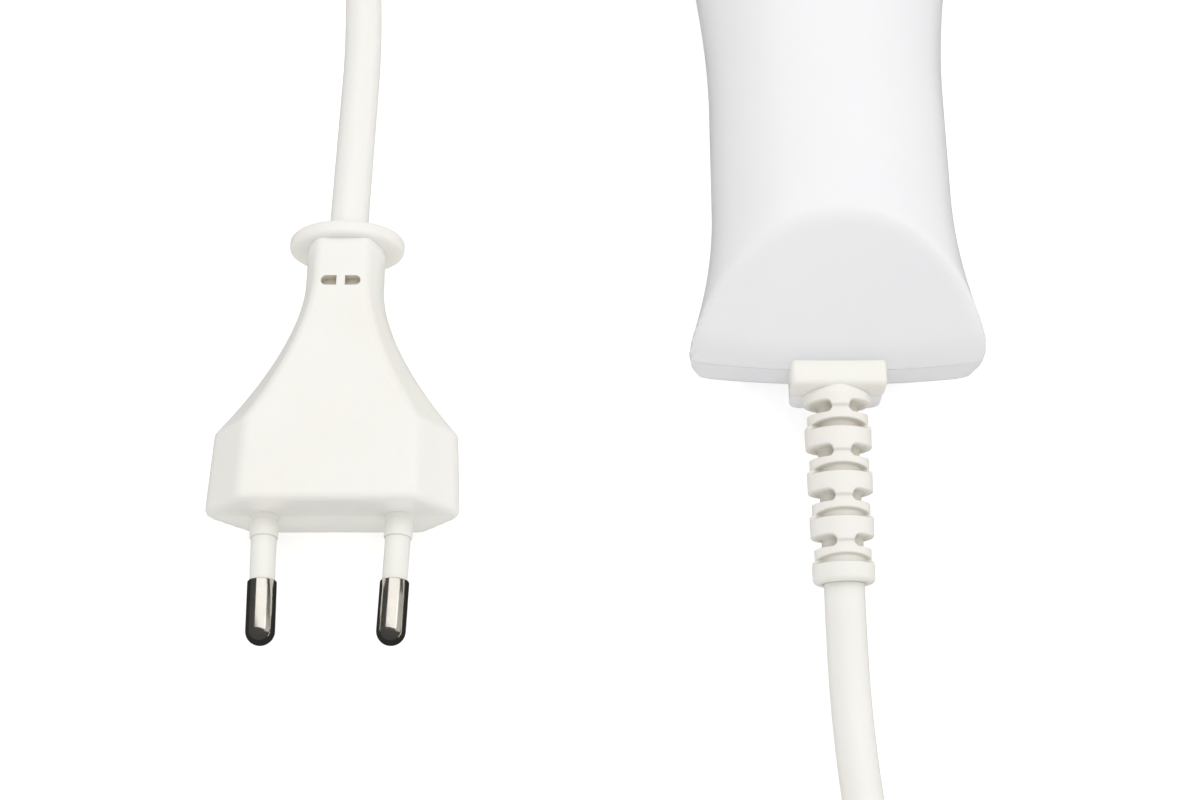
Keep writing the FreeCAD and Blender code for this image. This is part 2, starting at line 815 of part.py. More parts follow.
def contact_pin(side):
    length = tip_y + contact_pin_proud - contact_pin_rear - contact_pin_radius
    rod = cylinder(side * contact_pin_x, contact_pin_rear, head_axis_z, Y_AXIS,
                   contact_pin_radius, length)
    nose = Part.makeSphere(contact_pin_radius,
                           V(side * contact_pin_x, contact_pin_rear + length, head_axis_z))
    stop_y = tip_y - attachment_plate - moving_gap - 1.0
    stop = cylinder(side * contact_pin_x, stop_y, head_axis_z, Y_AXIS, contact_pin_radius + 0.8, 1.0)
    return join([rod, nose, stop])


def contact_switch(side):
    y0 = attachment_y + attachment_plate
    y1 = contact_pin_rear - contact_travel - moving_gap
    x = side * contact_pin_x
    return box(x - 1.5, x + 1.5, y0, y1, head_axis_z - 2.5, head_axis_z + 2.5)


# ---------------------------------------------------------------- cord entry

def clamp_screw_x():
    return [side * (clamp_half - 2.0) for side in (-1, 1)]


def cord_clamp():
    low = cord_axis_z + 0.3
    y0 = tail_y + clamp_place - clamp_length / 2
    bar = box(-clamp_half, clamp_half, y0, y0 + clamp_length, low, cord_axis_z + cord_radius + 1.4)
    bar = bar.cut(cylinder(0, y0 - 1, cord_axis_z, Y_AXIS, cord_radius + 0.05, clamp_length + 2))
    for x in clamp_screw_x():
        bar = bar.cut(cylinder(x, tail_y + clamp_place, low - 1, Z_AXIS, clamp_screw_radius, 8))
    return bar


def clamp_screws():
    top = cord_axis_z + cord_radius + 1.4
    y = tail_y + clamp_place
    screws = []
    for x in clamp_screw_x():
        shank = cylinder(x, y, cord_axis_z - 4, Z_AXIS, clamp_screw_radius, top - cord_axis_z + 4)
        screws.append(join([shank, cylinder(x, y, top, Z_AXIS, 1.5, 1.0)]))
    return group(screws)


def cord_inner_end():
    y0 = tail_y + collar_inside
    sheath = cylinder(0, y0, cord_axis_z, Y_AXIS, cord_radius, 12.0 - collar_inside)
    cores = [cylinder(side * 1.3, tail_y + 12, cord_axis_z, Y_AXIS, 0.9, 5.5) for side in (-1, 1)]
    return join([sheath] + cores)


droop_angle = math.radians(relief_droop)
lean_angle = math.radians(relief_lean)
relief_direction = V(-math.sin(lean_angle) * math.cos(droop_angle),
                     -math.cos(lean_angle) * math.cos(droop_angle), -math.sin(droop_angle))
relief_root = V(0, collar_y, cord_axis_z)
relief_end = relief_root + relief_direction * relief_length


def relief_sleeve(gap):
    """The sleeve starts inside the collar and is cut off flush with the collar's face."""
    hidden = 1.5
    cone = Part.makeCone(relief_radius_start + gap, relief_radius_end + gap, relief_length + hidden,
                         relief_root - relief_direction * hidden, relief_direction)
    return cone.common(slab(-overall_length, collar_y + gap))


def relief_ring(distance, length, inner):
    """Ring about the sleeve's axis, centred at a distance from the collar, to be cut away."""
    start = relief_root + relief_direction * (distance - length / 2)
    ring = Part.makeCylinder(relief_radius_start + 1, length, start, relief_direction)
    return ring.cut(Part.makeCylinder(inner, length, start, relief_direction))


def relief_window(distance, half_inside, half_outside):
    """Upright slab beside the sleeve's axis that keeps a rib between the slots."""
    centre = relief_root + relief_direction * distance
    return box(centre.x + half_inside, centre.x + half_outside, centre.y - 4, centre.y + 4,
               centre.z - 2 * relief_radius_start, centre.z + 2 * relief_radius_start)


def strain_relief():
    """Collar, flange and a drooping sleeve, slotted at its sides and notched in front and behind."""
    rib = relief_rib / 2
    cheek = relief_core_radius + 0.2
    cuts = []
    for index in range(relief_slot_pairs):
        slot_at = relief_first_slot + relief_slot_pitch * index
        notch_at = slot_at + relief_notch_offset
        slot = relief_ring(slot_at, relief_slot, relief_core_radius)
        cuts.append(slot.cut(relief_window(slot_at, -rib, rib)))
        notch = relief_ring(notch_at, relief_slot, relief_core_radius)
        notch = notch.cut(relief_window(notch_at, cheek, 2 * cheek))
        cuts.append(notch.cut(relief_window(notch_at, -2 * cheek, -cheek)))
        between = (slot_at + notch_at) / 2
        thin = relief_radius_start - relief_step - 0.2 * between / relief_length
        cuts.append(relief_ring(between, relief_notch_offset, thin))
    sleeve = relief_sleeve(0)
    for cut in cuts:
        sleeve = sleeve.cut(cut)
    return largest_solid(join([collar_block(0), sleeve]))


# ---------------------------------------------------------------- cord

coil_outer = coil_turn_radius + cord_radius
coil_inner = coil_turn_radius - coil_turns_per_layer * cord_diameter - cord_radius
coil_height = 2 * cord_diameter
coil_entry_y = coil_centre_y + coil_turn_radius
coil_exit_x = coil_centre_x - coil_turn_radius
floor_z = cord_radius + 0.05

# Stretch from the strain relief, round the handset's right side and head, to the coil's far side
handset_run = [
    relief_end,
    relief_end + relief_direction * 11.0,
    V(1.1, -134.0, 2.95),
    V(2.2, -144.5, floor_z),
    V(2.4, -161.1, floor_z),
    V(11.1, -176.1, floor_z),
    V(26.0, -184.8, floor_z),
    V(43.3, -184.8, floor_z),
    V(58.3, -176.1, floor_z),
    V(67.0, -160.9, floor_z),
    V(69.4, -138.0, floor_z),
    V(67.8, -97.0, floor_z),
    V(71.0, -42.0, floor_z),
    V(68.0, 14.0, floor_z),
    V(62.0, 60.0, floor_z),
    V(45.0, 95.0, floor_z),
    V(14.0, 116.0, floor_z),
    V(-20.0, 121.6, floor_z),
    V(-45.0, coil_entry_y + 0.8, 3.2),
    V(-65.0, coil_entry_y, coil_lift + cord_radius),
]

plug_collar_end = plug_face_y + plug_straight + plug_flare + plug_neck_length + plug_collar_thickness
plug_axis_z = plug_thickness / 2

# Stretch from the coil's left side to the plug
plug_run = [
    V(coil_exit_x, 72.0, coil_lift + cord_diameter + cord_radius),
    V(-110.5, 54.0, 7.6),
    V(-100.0, 33.0, 5.2),
    V(-83.5, 18.0, 3.4),
    V(-71.2, 1.0, 2.95),
    V(-69.7, -20.0, 3.1),
    V(-69.9, -39.0, 4.8),
    V(plug_x, plug_collar_end, plug_axis_z),
]


def cord_wire(points):
    """Straight runs joined by tangent arcs, each as large as its two runs allow."""
    edges = []
    radii = []
    start = points[0]
    for before, point, after in zip(points, points[1:], points[2:]):
        into = (point - before).normalize()
        out = (after - point).normalize()
        turn = into.getAngle(out)
        reach = 0.45 * min((point - before).Length, (after - point).Length)
        radius = reach / math.tan(turn / 2)
        radii.append(round(radius, 1))
        inward = (out - into).normalize()
        middle = point + inward * (radius * (1 / math.cos(turn / 2) - 1))
        arc_start = point - into * reach
        arc_end = point + out * reach
        edges.append(Part.LineSegment(start, arc_start).toShape())
        edges.append(Part.Arc(arc_start, middle, arc_end).toShape())
        start = arc_end
    edges.append(Part.LineSegment(start, points[-1]).toShape())
    return Part.Wire(edges), radii


def cord_tube(points, name):
    wire, radii = cord_wire(points)
    profile = Part.Wire(Part.makeCircle(cord_radius, points[0], points[1] - points[0]))
    tube = wire.makePipeShell([profile], True, True)
    expected = math.pi * cord_radius ** 2 * wire.Length
    print(name, "length", round(wire.Length, 1), "radii", radii, "volume share",
          round(tube.Volume / expected, 4), "lowest", round(tube.BoundBox.ZMin, 3))
    return tube


def cord_coil():
    outside = cylinder(coil_centre_x, coil_centre_y, coil_lift, Z_AXIS, coil_outer, coil_height)
    return outside.cut(cylinder(coil_centre_x, coil_centre_y, 0, Z_AXIS, coil_inner, 2 * coil_height))


def cord_tie():
    half = tie_width / 2
    thick = coil_lift
    y0 = coil_centre_y + math.sqrt(coil_inner ** 2 - half ** 2)
    y1 = coil_centre_y + coil_outer
    band = box(coil_centre_x - half, coil_centre_x + half, y0 - thick, y1 + thick,
               0, coil_height + coil_lift + thick)
    return band.cut(box(coil_centre_x - half - 1, coil_centre_x + half + 1, y0, y1,
                        coil_lift, coil_height + coil_lift))


# ---------------------------------------------------------------- plug

def plug_section(y, width, flat, side_height, thickness):
    half = width / 2
    flat_half = flat / 2
    side = side_height / 2
    rise = thickness / 2
    outline = [(-half, -side), (-flat_half, -rise), (flat_half, -rise), (half, -side),
               (half, side), (flat_half, rise), (-flat_half, rise), (-half, side)]
    points = [V(plug_x + x, y, plug_axis_z + z) for x, z in outline]
    return Part.makePolygon(points + points[:1])


def plug_body():
    shoulder_y = plug_face_y + plug_straight
    neck_y = shoulder_y + plug_flare
    face = plug_section(plug_face_y, plug_face_width, plug_face_flat, plug_side_height, plug_thickness)
    shoulder = plug_section(shoulder_y, plug_face_width - 1.0, plug_face_flat - 0.6,
                            plug_side_height, plug_thickness)
    block = Part.makeLoft([face, shoulder], True, True)
    flare_wires = []
    steps = 7
    for index in range(steps):
        share = index / (steps - 1)
        spread = (1 - share) ** 1.7
        level = (1 - share) ** 1.4
        flare_wires.append(plug_section(
            shoulder_y + plug_flare * share,
            plug_neck_width + (plug_face_width - 1.0 - plug_neck_width) * spread,
            plug_neck_flat + (plug_face_flat - 0.6 - plug_neck_flat) * spread,
            plug_side_height + 2.0 * share,
            plug_neck_thickness + (plug_thickness - plug_neck_thickness) * level))
    flare = Part.makeLoft(flare_wires, True, False)
    collar_y0 = neck_y + plug_neck_length
    neck = Part.makeLoft([
        plug_section(neck_y, plug_neck_width, plug_neck_flat, plug_side_height + 2, plug_neck_thickness),
        plug_section(collar_y0, plug_neck_width, plug_neck_flat, plug_side_height + 2,
                     plug_neck_thickness)], True, True)
    oval = Part.Ellipse(V(plug_x, collar_y0, plug_axis_z), plug_collar_width / 2, plug_collar_height / 2)
    oval_edge = oval.toShape()
    oval_edge.rotate(V(plug_x, collar_y0, plug_axis_z), X_AXIS, 90)
    collar = Part.Face(Part.Wire([oval_edge])).extrude(Y_AXIS * plug_collar_thickness)
    body = join([block, flare, neck, collar])
    for side in (-1, 1):
        x = plug_x + side * 1.75
        slot_y = neck_y - 2.0
        body = body.cut(box(x - 1.25, x + 1.25, slot_y, slot_y + 1.8,
                            plug_axis_z + plug_neck_thickness / 2 - 1.6, plug_thickness))
        body = body.cut(pin_sleeve(side))
    return largest_solid(body)


def tilted_pin(side, start, parts):
    """Turn pieces built along -Y from the plug's face by the pin's small inward lean."""
    lean = math.degrees(math.atan((plug_pin_spacing_base - plug_pin_spacing_tip) / 2 / plug_pin_length))
    pin = join(parts)
    pin.rotate(V(start, plug_face_y, plug_axis_z), Z_AXIS, -side * lean)
    return pin


def pin_sleeve(side):
    x = plug_x + side * plug_pin_spacing_base / 2
    sleeve_end = plug_pin_length - plug_metal_length
    boss = cylinder(x, plug_face_y, plug_axis_z, -Y_AXIS, plug_pin_radius - 0.05, plug_boss_length)
    sleeve = cylinder(x, plug_face_y - plug_boss_length, plug_axis_z, -Y_AXIS, plug_sleeve_radius,
                      sleeve_end - plug_boss_length)
    return tilted_pin(side, x, [boss, sleeve])


def plug_pin(side):
    x = plug_x + side * plug_pin_spacing_base / 2
    start = plug_face_y - plug_pin_length + plug_metal_length
    straight = plug_metal_length - plug_pin_radius
    rod = cylinder(x, start, plug_axis_z, -Y_AXIS, plug_pin_radius, straight)
    tip = Part.makeSphere(plug_pin_radius, V(x, start - straight, plug_axis_z))
    return tilted_pin(side, x, [rod, tip])


# ---------------------------------------------------------------- build

def all_parts():
    parts = {
        "upper_shell": upper_shell(),
        "lower_shell": lower_shell(),
        "shell_screws": group([screw(*place) for place in tail_screw_places() + head_screw_places()]),
        "head_bezel": head_bezel(),
        "pulse_button": button(pulse_y, pulse_button_length, pulse_button_width, pulse_travel),
        "level_button": button(level_y, level_button_length, level_button_width, level_travel),
        "level_light_pipes": light_pipes(),
        "control_board": control_board(),
        "pulse_switch": tact_switch(pulse_y),
        "level_switch": tact_switch(level_y),
        "level_leds": level_leds(),
        "power_board": power_board(),
        "terminal_block": terminal_block(),
        "fuse": fuse(),
        "filter_choke": filter_choke(),
        "transformer_core": transformer_core(),
        "transformer_winding": transformer_winding(),
        "fan_housing": fan_housing(),
        "fan_shaft": fan_shaft(),
        "fan_rotor": fan_rotor(),
        "heat_sink": heat_sink(),
        "lamp_housing": lamp_housing(),
        "reflector": reflector(),
        "flash_lamp": flash_lamp(),
        "lamp_electrodes": lamp_electrodes(),
        "filter_glass": filter_glass(),
        "bezel_magnets": magnets(mouth_y - magnet_thickness),
        "attachment_body": attachment_body(),
        "attachment_back": attachment_back(),
        "attachment_magnets": magnets(attachment_y),
        "skin_sensor_lens": skin_sensor_lens(),
        "cord_clamp": cord_clamp(),
        "clamp_screws": clamp_screws(),
        "cord_inner_end": cord_inner_end(),
        "strain_relief": strain_relief(),
        "cord_handset_run": cord_tube(handset_run, "handset run"),
        "cord_plug_run": cord_tube(plug_run, "plug run"),
        "cord_coil": cord_coil(),
        "cord_tie": cord_tie(),
        "plug_body": plug_body(),
    }
    for side, word in ((-1, "left"), (1, "right")):
        parts["vent_grille_" + word] = vent_grille(side)
        parts["flash_capacitor_" + word] = flash_capacitor(side)
        parts["contact_pin_" + word] = contact_pin(side)
        parts["contact_switch_" + word] = contact_switch(side)
        parts["pin_sleeve_" + word] = pin_sleeve(side)
        parts["plug_pin_" + word] = plug_pin(side)
    return parts


os.makedirs("parts", exist_ok=True)
for node, shape in all_parts().items():
    shape.exportStep(os.path.join("parts", node + ".step"))
    if not shape.isValid():
        print("invalid", node)
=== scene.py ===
"""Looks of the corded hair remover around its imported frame. Metres, in the frame's own axes."""
import json
import math

import bmesh
import bpy
import numpy as np
from mathutils import Matrix, Vector


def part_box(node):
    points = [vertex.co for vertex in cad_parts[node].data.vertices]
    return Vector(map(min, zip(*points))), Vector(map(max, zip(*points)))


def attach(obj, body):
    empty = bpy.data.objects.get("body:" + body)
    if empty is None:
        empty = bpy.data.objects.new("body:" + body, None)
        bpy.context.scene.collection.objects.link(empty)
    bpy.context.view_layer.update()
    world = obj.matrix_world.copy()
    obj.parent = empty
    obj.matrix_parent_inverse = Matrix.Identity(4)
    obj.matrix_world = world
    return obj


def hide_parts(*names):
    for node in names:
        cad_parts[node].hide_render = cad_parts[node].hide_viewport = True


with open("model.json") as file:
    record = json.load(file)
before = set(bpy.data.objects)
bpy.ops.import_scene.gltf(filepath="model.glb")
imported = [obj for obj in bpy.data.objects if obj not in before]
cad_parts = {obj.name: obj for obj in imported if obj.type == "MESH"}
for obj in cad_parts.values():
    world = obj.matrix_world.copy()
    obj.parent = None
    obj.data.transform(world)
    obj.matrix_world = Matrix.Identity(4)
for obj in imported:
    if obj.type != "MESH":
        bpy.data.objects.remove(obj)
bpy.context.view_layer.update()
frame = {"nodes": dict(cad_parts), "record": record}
scene = bpy.context.scene
MM = 0.001


# ---------------------------------------------------------------- camera and light

def make_camera():
    data = bpy.data.cameras.new("camera")
    data.lens = 62.0
    data.sensor_width = 36.0
    data.clip_start = 0.01
    camera = bpy.data.objects.new("camera", data)
    camera.location = (-0.03304, -0.20498, 0.27299)
    camera.rotation_euler = (math.radians(24.5), 0.0, 0.0)
    scene.collection.objects.link(camera)
    bpy.context.scene.camera = camera


def area_light(name, location, target, size, power, mirrored=True):
    data = bpy.data.lights.new(name, "AREA")
    data.shape = "RECTANGLE"
    data.size = size[0]
    data.size_y = size[1]
    data.energy = power
    light = bpy.data.objects.new(name, data)
    light.location = location
    aim = Vector(target) - Vector(location)
    light.rotation_euler = aim.to_track_quat("-Z", "Y").to_euler()
    light.visible_glossy = mirrored
    scene.collection.objects.link(light)


def make_world(horizon, zenith, reflected):
    """Soft dome, brighter overhead; shiny surfaces see a dark studio round the lamps instead."""
    world = bpy.data.worlds.new("studio")
    world.use_nodes = True
    tree = world.node_tree
    background = tree.nodes["Background"]
    background.inputs["Color"].default_value = (1.0, 1.0, 1.0, 1.0)
    sky = tree.nodes.new("ShaderNodeTexCoord")
    split = tree.nodes.new("ShaderNodeSeparateXYZ")
    climb = tree.nodes.new("ShaderNodeMapRange")
    climb.inputs["To Min"].default_value = horizon
    climb.inputs["To Max"].default_value = zenith
    ray = tree.nodes.new("ShaderNodeLightPath")
    choose = tree.nodes.new("ShaderNodeMix")
    choose.inputs["B"].default_value = reflected
    tree.links.new(sky.outputs["Generated"], split.inputs["Vector"])
    tree.links.new(split.outputs["Z"], climb.inputs["Value"])
    tree.links.new(ray.outputs["Is Glossy Ray"], choose.inputs["Factor"])
    tree.links.new(climb.outputs["Result"], choose.inputs["A"])
    tree.links.new(choose.outputs["Result"], background.inputs["Strength"])
    scene.world = world


make_camera()
make_world(horizon=0.40, zenith=0.85, reflected=0.06)
area_light("key", (0.03, 0.25, 0.70), (-0.03, -0.08, 0.0), (1.3, 0.5), 2.3)
area_light("front", (-0.03, -0.45, 0.62), (-0.03, -0.08, 0.0), (0.9, 0.4), 0.8,
           mirrored=False)
area_light("side_right", (0.6, -0.05, 0.35), (0.0, -0.05, 0.01), (0.4, 0.6), 0.35)
scene.view_settings.view_transform = "Standard"
scene.view_settings.look = "None"


# ---------------------------------------------------------------- materials

class Finish:
    """A node material built up from a Principled shader on object-space coordinates."""

    def __init__(self, name, colour, roughness, metallic=0.0):
        self.material = bpy.data.materials.new(name)
        self.material.use_nodes = True
        self.tree = self.material.node_tree
        self.tree.nodes.clear()
        self.shader = self.tree.nodes.new("ShaderNodeBsdfPrincipled")
        output = self.tree.nodes.new("ShaderNodeOutputMaterial")
        self.tree.links.new(self.shader.outputs["BSDF"], output.inputs["Surface"])
        self.place = self.tree.nodes.new("ShaderNodeTexCoord").outputs["Object"]
        self.shader.inputs["Base Color"].default_value = (*colour, 1.0)
        self.shader.inputs["Roughness"].default_value = roughness
        self.shader.inputs["Metallic"].default_value = metallic
        self.colour = None
        self.base_colour = colour
        self.height = None

    def node(self, kind, **values):
        made = self.tree.nodes.new(kind)
        for key, value in values.items():
            setattr(made, key, value)
        return made

    def link(self, source, target):
        self.tree.links.new(source, target)

    def noise(self, scale, detail=3.0, rough=0.55, stretch=None):
        made = self.node("ShaderNodeTexNoise")
        made.inputs["Scale"].default_value = scale
        made.inputs["Detail"].default_value = detail
        made.inputs["Roughness"].default_value = rough
        if stretch:
            mapping = self.node("ShaderNodeMapping")
            mapping.inputs["Scale"].default_value = stretch
            self.link(self.place, mapping.inputs["Vector"])
            self.link(mapping.outputs["Vector"], made.inputs["Vector"])
        else:
            self.link(self.place, made.inputs["Vector"])
        return made.outputs["Fac"]

    def spots(self, scale, size):
        """Small sparse specks: 1 inside a speck, 0 elsewhere."""
        made = self.node("ShaderNodeTexVoronoi")
        made.inputs["Scale"].default_value = scale
        self.link(self.place, made.inputs["Vector"])
        return self.ramp(made.outputs["Distance"], [(size * 0.6, 1.0), (size, 0.0)])

    def ramp(self, source, stops):
        made = self.node("ShaderNodeValToRGB")
        elements = made.color_ramp.elements
        while len(elements) < len(stops):
            elements.new(0.5)
        for element, (position, value) in zip(elements, stops):
            element.position = position
            colour = value if isinstance(value, tuple) else (value, value, value)
            element.color = (*colour, 1.0)
        self.link(source, made.inputs["Fac"])
        return made.outputs["Color"]

    def tint(self, mask, colour, strength=1.0):
        """Mix a colour over the base where the mask is bright."""
        mix = self.node("ShaderNodeMix", data_type="RGBA")
        if strength == 1.0:
            self.link(mask, mix.inputs["Factor"])
        else:
            scaled = self.node("ShaderNodeMath", operation="MULTIPLY")
            self.link(mask, scaled.inputs[0])
            scaled.inputs[1].default_value = strength
            self.link(scaled.outputs[0], mix.inputs["Factor"])
        if self.colour is None:
            mix.inputs["A"].default_value = (*self.base_colour, 1.0)
        else:
            self.link(self.colour, mix.inputs["A"])
        mix.inputs["B"].default_value = (*colour, 1.0)
        self.colour = mix.outputs["Result"]
        self.link(self.colour, self.shader.inputs["Base Color"])

    def vary_roughness(self, mask, low, high):
        spread = self.node("ShaderNodeMapRange")
        self.link(mask, spread.inputs["Value"])
        spread.inputs["To Min"].default_value = low
        spread.inputs["To Max"].default_value = high
        self.link(spread.outputs["Result"], self.shader.inputs["Roughness"])

    def bump(self, height, strength, distance):
        made = self.node("ShaderNodeBump")
        made.inputs["Strength"].default_value = strength
        made.inputs["Distance"].default_value = distance
        self.link(height, made.inputs["Height"])
        if self.height is not None:
            self.link(self.height, made.inputs["Normal"])
        self.height = made.outputs["Normal"]
        self.link(self.height, self.shader.inputs["Normal"])

    def paint_cavity_shade(self, distance, colour, strength):
        """Painted shade: colour darkened in grooves and inner corners, where ambient occlusion finds little
        open space.
        """
        hidden = self.node("ShaderNodeAmbientOcclusion", samples=6, only_local=True)
        hidden.inputs["Distance"].default_value = distance
        self.tint(self.ramp(hidden.outputs["AO"], [(0.35, 1.0), (0.85, 0.0)]), colour, strength)

    def edge_wear(self, colour, strength):
        """Slight polish on convex edges, broken up by noise."""
        shape = self.node("ShaderNodeNewGeometry")
        edge = self.ramp(shape.outputs["Pointiness"], [(0.52, 0.0), (0.6, 1.0)])
        broken = self.node("ShaderNodeMath", operation="MULTIPLY")
        self.link(edge, broken.inputs[0])
        self.link(self.noise(900.0), broken.inputs[1])
        self.tint(broken.outputs[0], colour, strength)

    def set(self, **values):
        for key, value in values.items():
            self.shader.inputs[key.replace("_", " ")].default_value = value


def moulded(name, colour, shade, roughness, grain=0.05, grain_scale=2600.0, specks=True, worn=True):
    """Moulded plastic: slow colour drift, fine spark texture, a few handling specks, painted shade in
    grooves and inner corners.
    """
    finish = Finish(name, colour, roughness)
    finish.tint(finish.ramp(finish.noise(38.0, 4.0), [(0.35, 0.0), (0.75, 1.0)]), shade, 0.55)
    if specks:
        finish.tint(finish.spots(700.0, 0.04), tuple(0.85 * c for c in shade), 0.2)
    # painted shade: grooves and inner corners darkened towards a deeper tone of the shade colour
    finish.paint_cavity_shade(0.0014, tuple(0.66 * c for c in shade), 0.8)
    if worn:
        finish.edge_wear(tuple(min(1.0, 1.06 * c) for c in colour), 0.3)
    finish.vary_roughness(finish.noise(120.0, 5.0), roughness - 0.06, roughness + 0.08)
    finish.bump(finish.noise(grain_scale, 2.0), grain, 0.00003)
    finish.bump(finish.noise(60.0, 2.0), 0.06, 0.0002)
    return finish


def metal(name, colour, shade, roughness, brushed=None):
    finish = Finish(name, colour, roughness, 1.0)
    finish.tint(finish.ramp(finish.noise(240.0, 4.0), [(0.4, 0.0), (0.7, 1.0)]), shade, 0.5)
    finish.vary_roughness(finish.noise(800.0, 4.0), roughness - 0.07, roughness + 0.1)
    finish.bump(finish.noise(1500.0, 3.0, stretch=brushed), 0.12, 0.00004)
    return finish


WHITE = (0.875, 0.87, 0.88)
WHITE_SHADE = (0.84, 0.835, 0.85)
CREAM = (0.89, 0.88, 0.84)
CREAM_SHADE = (0.86, 0.83, 0.75)


def make_finishes():
    made = {}
    casing = moulded("casing_white", WHITE, WHITE_SHADE, 0.3, grain=0.02, specks=False, worn=False)
    casing.set(Specular_IOR_Level=0.35, Subsurface_Weight=0.06, Subsurface_Scale=0.002)
    made["casing"] = casing
    lower = moulded("casing_lower_white", (0.85, 0.85, 0.865), (0.80, 0.80, 0.82), 0.34, grain=0.08,
                    specks=False, worn=False)
    lower.set(Subsurface_Weight=0.05, Subsurface_Scale=0.002)
    made["casing_lower"] = lower
    made["bezel"] = moulded("bezel_grey", (0.42, 0.43, 0.46), (0.36, 0.37, 0.40), 0.4, grain=0.12)
    button = moulded("button_pearl", (0.78, 0.76, 0.79), (0.70, 0.68, 0.73), 0.3, grain=0.03)
    button.set(Coat_Weight=0.4, Coat_Roughness=0.1)
    made["button"] = button
    made["button_small"] = moulded("button_small_pearl", (0.80, 0.80, 0.84), (0.73, 0.73, 0.78), 0.3)
    made["attachment"] = moulded("attachment_white", (0.84, 0.84, 0.87), WHITE_SHADE, 0.22, grain=0.02)
    made["attachment_inner"] = moulded("attachment_inner_grey", (0.30, 0.31, 0.34), (0.24, 0.25, 0.28), 0.5)
    made["grille"] = moulded("grille_grey", (0.62, 0.62, 0.66), (0.54, 0.54, 0.59), 0.45, grain=0.15)
    cord = moulded("cord_cream", CREAM, CREAM_SHADE, 0.36, grain=0.04, grain_scale=1800.0)
    cord.set(Sheen_Weight=0.05, Subsurface_Weight=0.08, Subsurface_Scale=0.0015)
    made["cord"] = cord
    relief = moulded("relief_cream", CREAM, CREAM_SHADE, 0.42, grain=0.1)
    # stronger painted shade, brown-grey, deep in the sleeve's slots and notches and the collar's corners
    relief.paint_cavity_shade(0.0022, (0.50, 0.46, 0.37), 0.55)
    relief.set(Subsurface_Weight=0.1, Subsurface_Scale=0.0015)
    made["strain_relief"] = relief
    plug = moulded("plug_cream", CREAM, CREAM_SHADE, 0.38, grain=0.05)
    # painted shade, warm beige, in the plug's slots and inner corners
    plug.paint_cavity_shade(0.0016, (0.62, 0.55, 0.42), 0.5)
    plug.set(Subsurface_Weight=0.1, Subsurface_Scale=0.002)
    made["plug"] = plug
    made["pin_sleeve"] = moulded("sleeve_cream", (0.87, 0.86, 0.81), (0.8, 0.78, 0.72), 0.4, grain=0.05)
    made["tie"] = moulded("tie_grey", (0.55, 0.55, 0.57), (0.47, 0.47, 0.50), 0.55, grain=0.3)
    made["nickel"] = metal("nickel", (0.80, 0.76, 0.69), (0.70, 0.65, 0.57), 0.14,
                           brushed=(1.0, 0.15, 1.0))
    made["contact"] = metal("contact_gold", (0.83, 0.70, 0.46), (0.7, 0.56, 0.34), 0.22)
    made["steel"] = metal("steel", (0.6, 0.6, 0.62), (0.48, 0.48, 0.5), 0.3, brushed=(1.0, 0.1, 1.0))
    made["screw"] = metal("screw_zinc", (0.55, 0.56, 0.58), (0.4, 0.41, 0.43), 0.35)
    made["aluminium"] = metal("aluminium", (0.78, 0.79, 0.8), (0.66, 0.67, 0.69), 0.36)
    made["mirror"] = metal("mirror", (0.93, 0.93, 0.94), (0.86, 0.86, 0.88), 0.1)
    made["magnet"] = metal("magnet_nickel", (0.6, 0.6, 0.6), (0.5, 0.5, 0.5), 0.25)
    made["copper"] = metal("copper_wire", (0.72, 0.36, 0.2), (0.55, 0.25, 0.12), 0.3,
                           brushed=(1.0, 6.0, 1.0))
    made["ferrite"] = moulded("ferrite", (0.09, 0.09, 0.095), (0.06, 0.06, 0.065), 0.6, grain=0.4)
    board = moulded("board_green", (0.05, 0.22, 0.10), (0.03, 0.16, 0.07), 0.35, grain=0.1)
    board.tint(board.spots(420.0, 0.12), (0.6, 0.58, 0.5), 0.8)
    made["board"] = board
    made["switch"] = moulded("switch_black", (0.05, 0.05, 0.055), (0.03, 0.03, 0.035), 0.4)
    made["terminal"] = moulded("terminal_green", (0.1, 0.35, 0.2), (0.07, 0.27, 0.15), 0.45)
    made["capacitor"] = moulded("capacitor_wrap", (0.06, 0.07, 0.13), (0.04, 0.045, 0.09), 0.3)
    made["fan"] = moulded("fan_black", (0.045, 0.045, 0.05), (0.03, 0.03, 0.033), 0.45, grain=0.2)
    made["lamp_frame"] = moulded("lamp_frame", (0.5, 0.5, 0.5), (0.42, 0.42, 0.42), 0.5, grain=0.2)
    made["led"] = moulded("led_body", (0.9, 0.88, 0.7), (0.8, 0.78, 0.6), 0.25)
    for slot, colour, rough in (("lamp_glass", (0.95, 0.97, 0.98), 0.03),
                                ("filter_glass", (0.9, 0.55, 0.3), 0.05),
                                ("lens", (0.25, 0.05, 0.08), 0.06),
                                ("light_pipe", (0.86, 0.88, 0.9), 0.2),
                                ("fuse", (0.85, 0.9, 0.88), 0.05)):
        glass = Finish(slot + "_clear", colour, rough)
        glass.tint(glass.noise(90.0), tuple(0.9 * c for c in colour), 0.5)
        glass.vary_roughness(glass.noise(500.0, 4.0), rough, rough + 0.08)
        glass.bump(glass.noise(700.0), 0.03, 0.00003)
        glass.set(Transmission_Weight=0.85, IOR=1.5)
        made[slot] = glass
    return {slot: finish.material for slot, finish in made.items()}


finishes = make_finishes()


def finish_nodes():
    """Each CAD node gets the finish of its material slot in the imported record."""
    for entry in frame["record"]["subparts"]:
        if entry["material_slot"] in finishes:
            materials = frame["nodes"][entry["node"]].data.materials
            materials.clear()
            materials.append(finishes[entry["material_slot"]])


finish_nodes()


# ---------------------------------------------------------------- helpers

def smooth_step(share):
    share = np.clip(share, 0.0, 1.0)
    return share * share * (3.0 - 2.0 * share)


def add_piece(name, mesh, body, slot):
    thing = bpy.data.objects.new(name, mesh)
    scene.collection.objects.link(thing)
    mesh.materials.clear()
    mesh.materials.append(finishes[slot])
    for polygon in mesh.polygons:
        polygon.use_smooth = True
    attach(thing, body)
    return thing


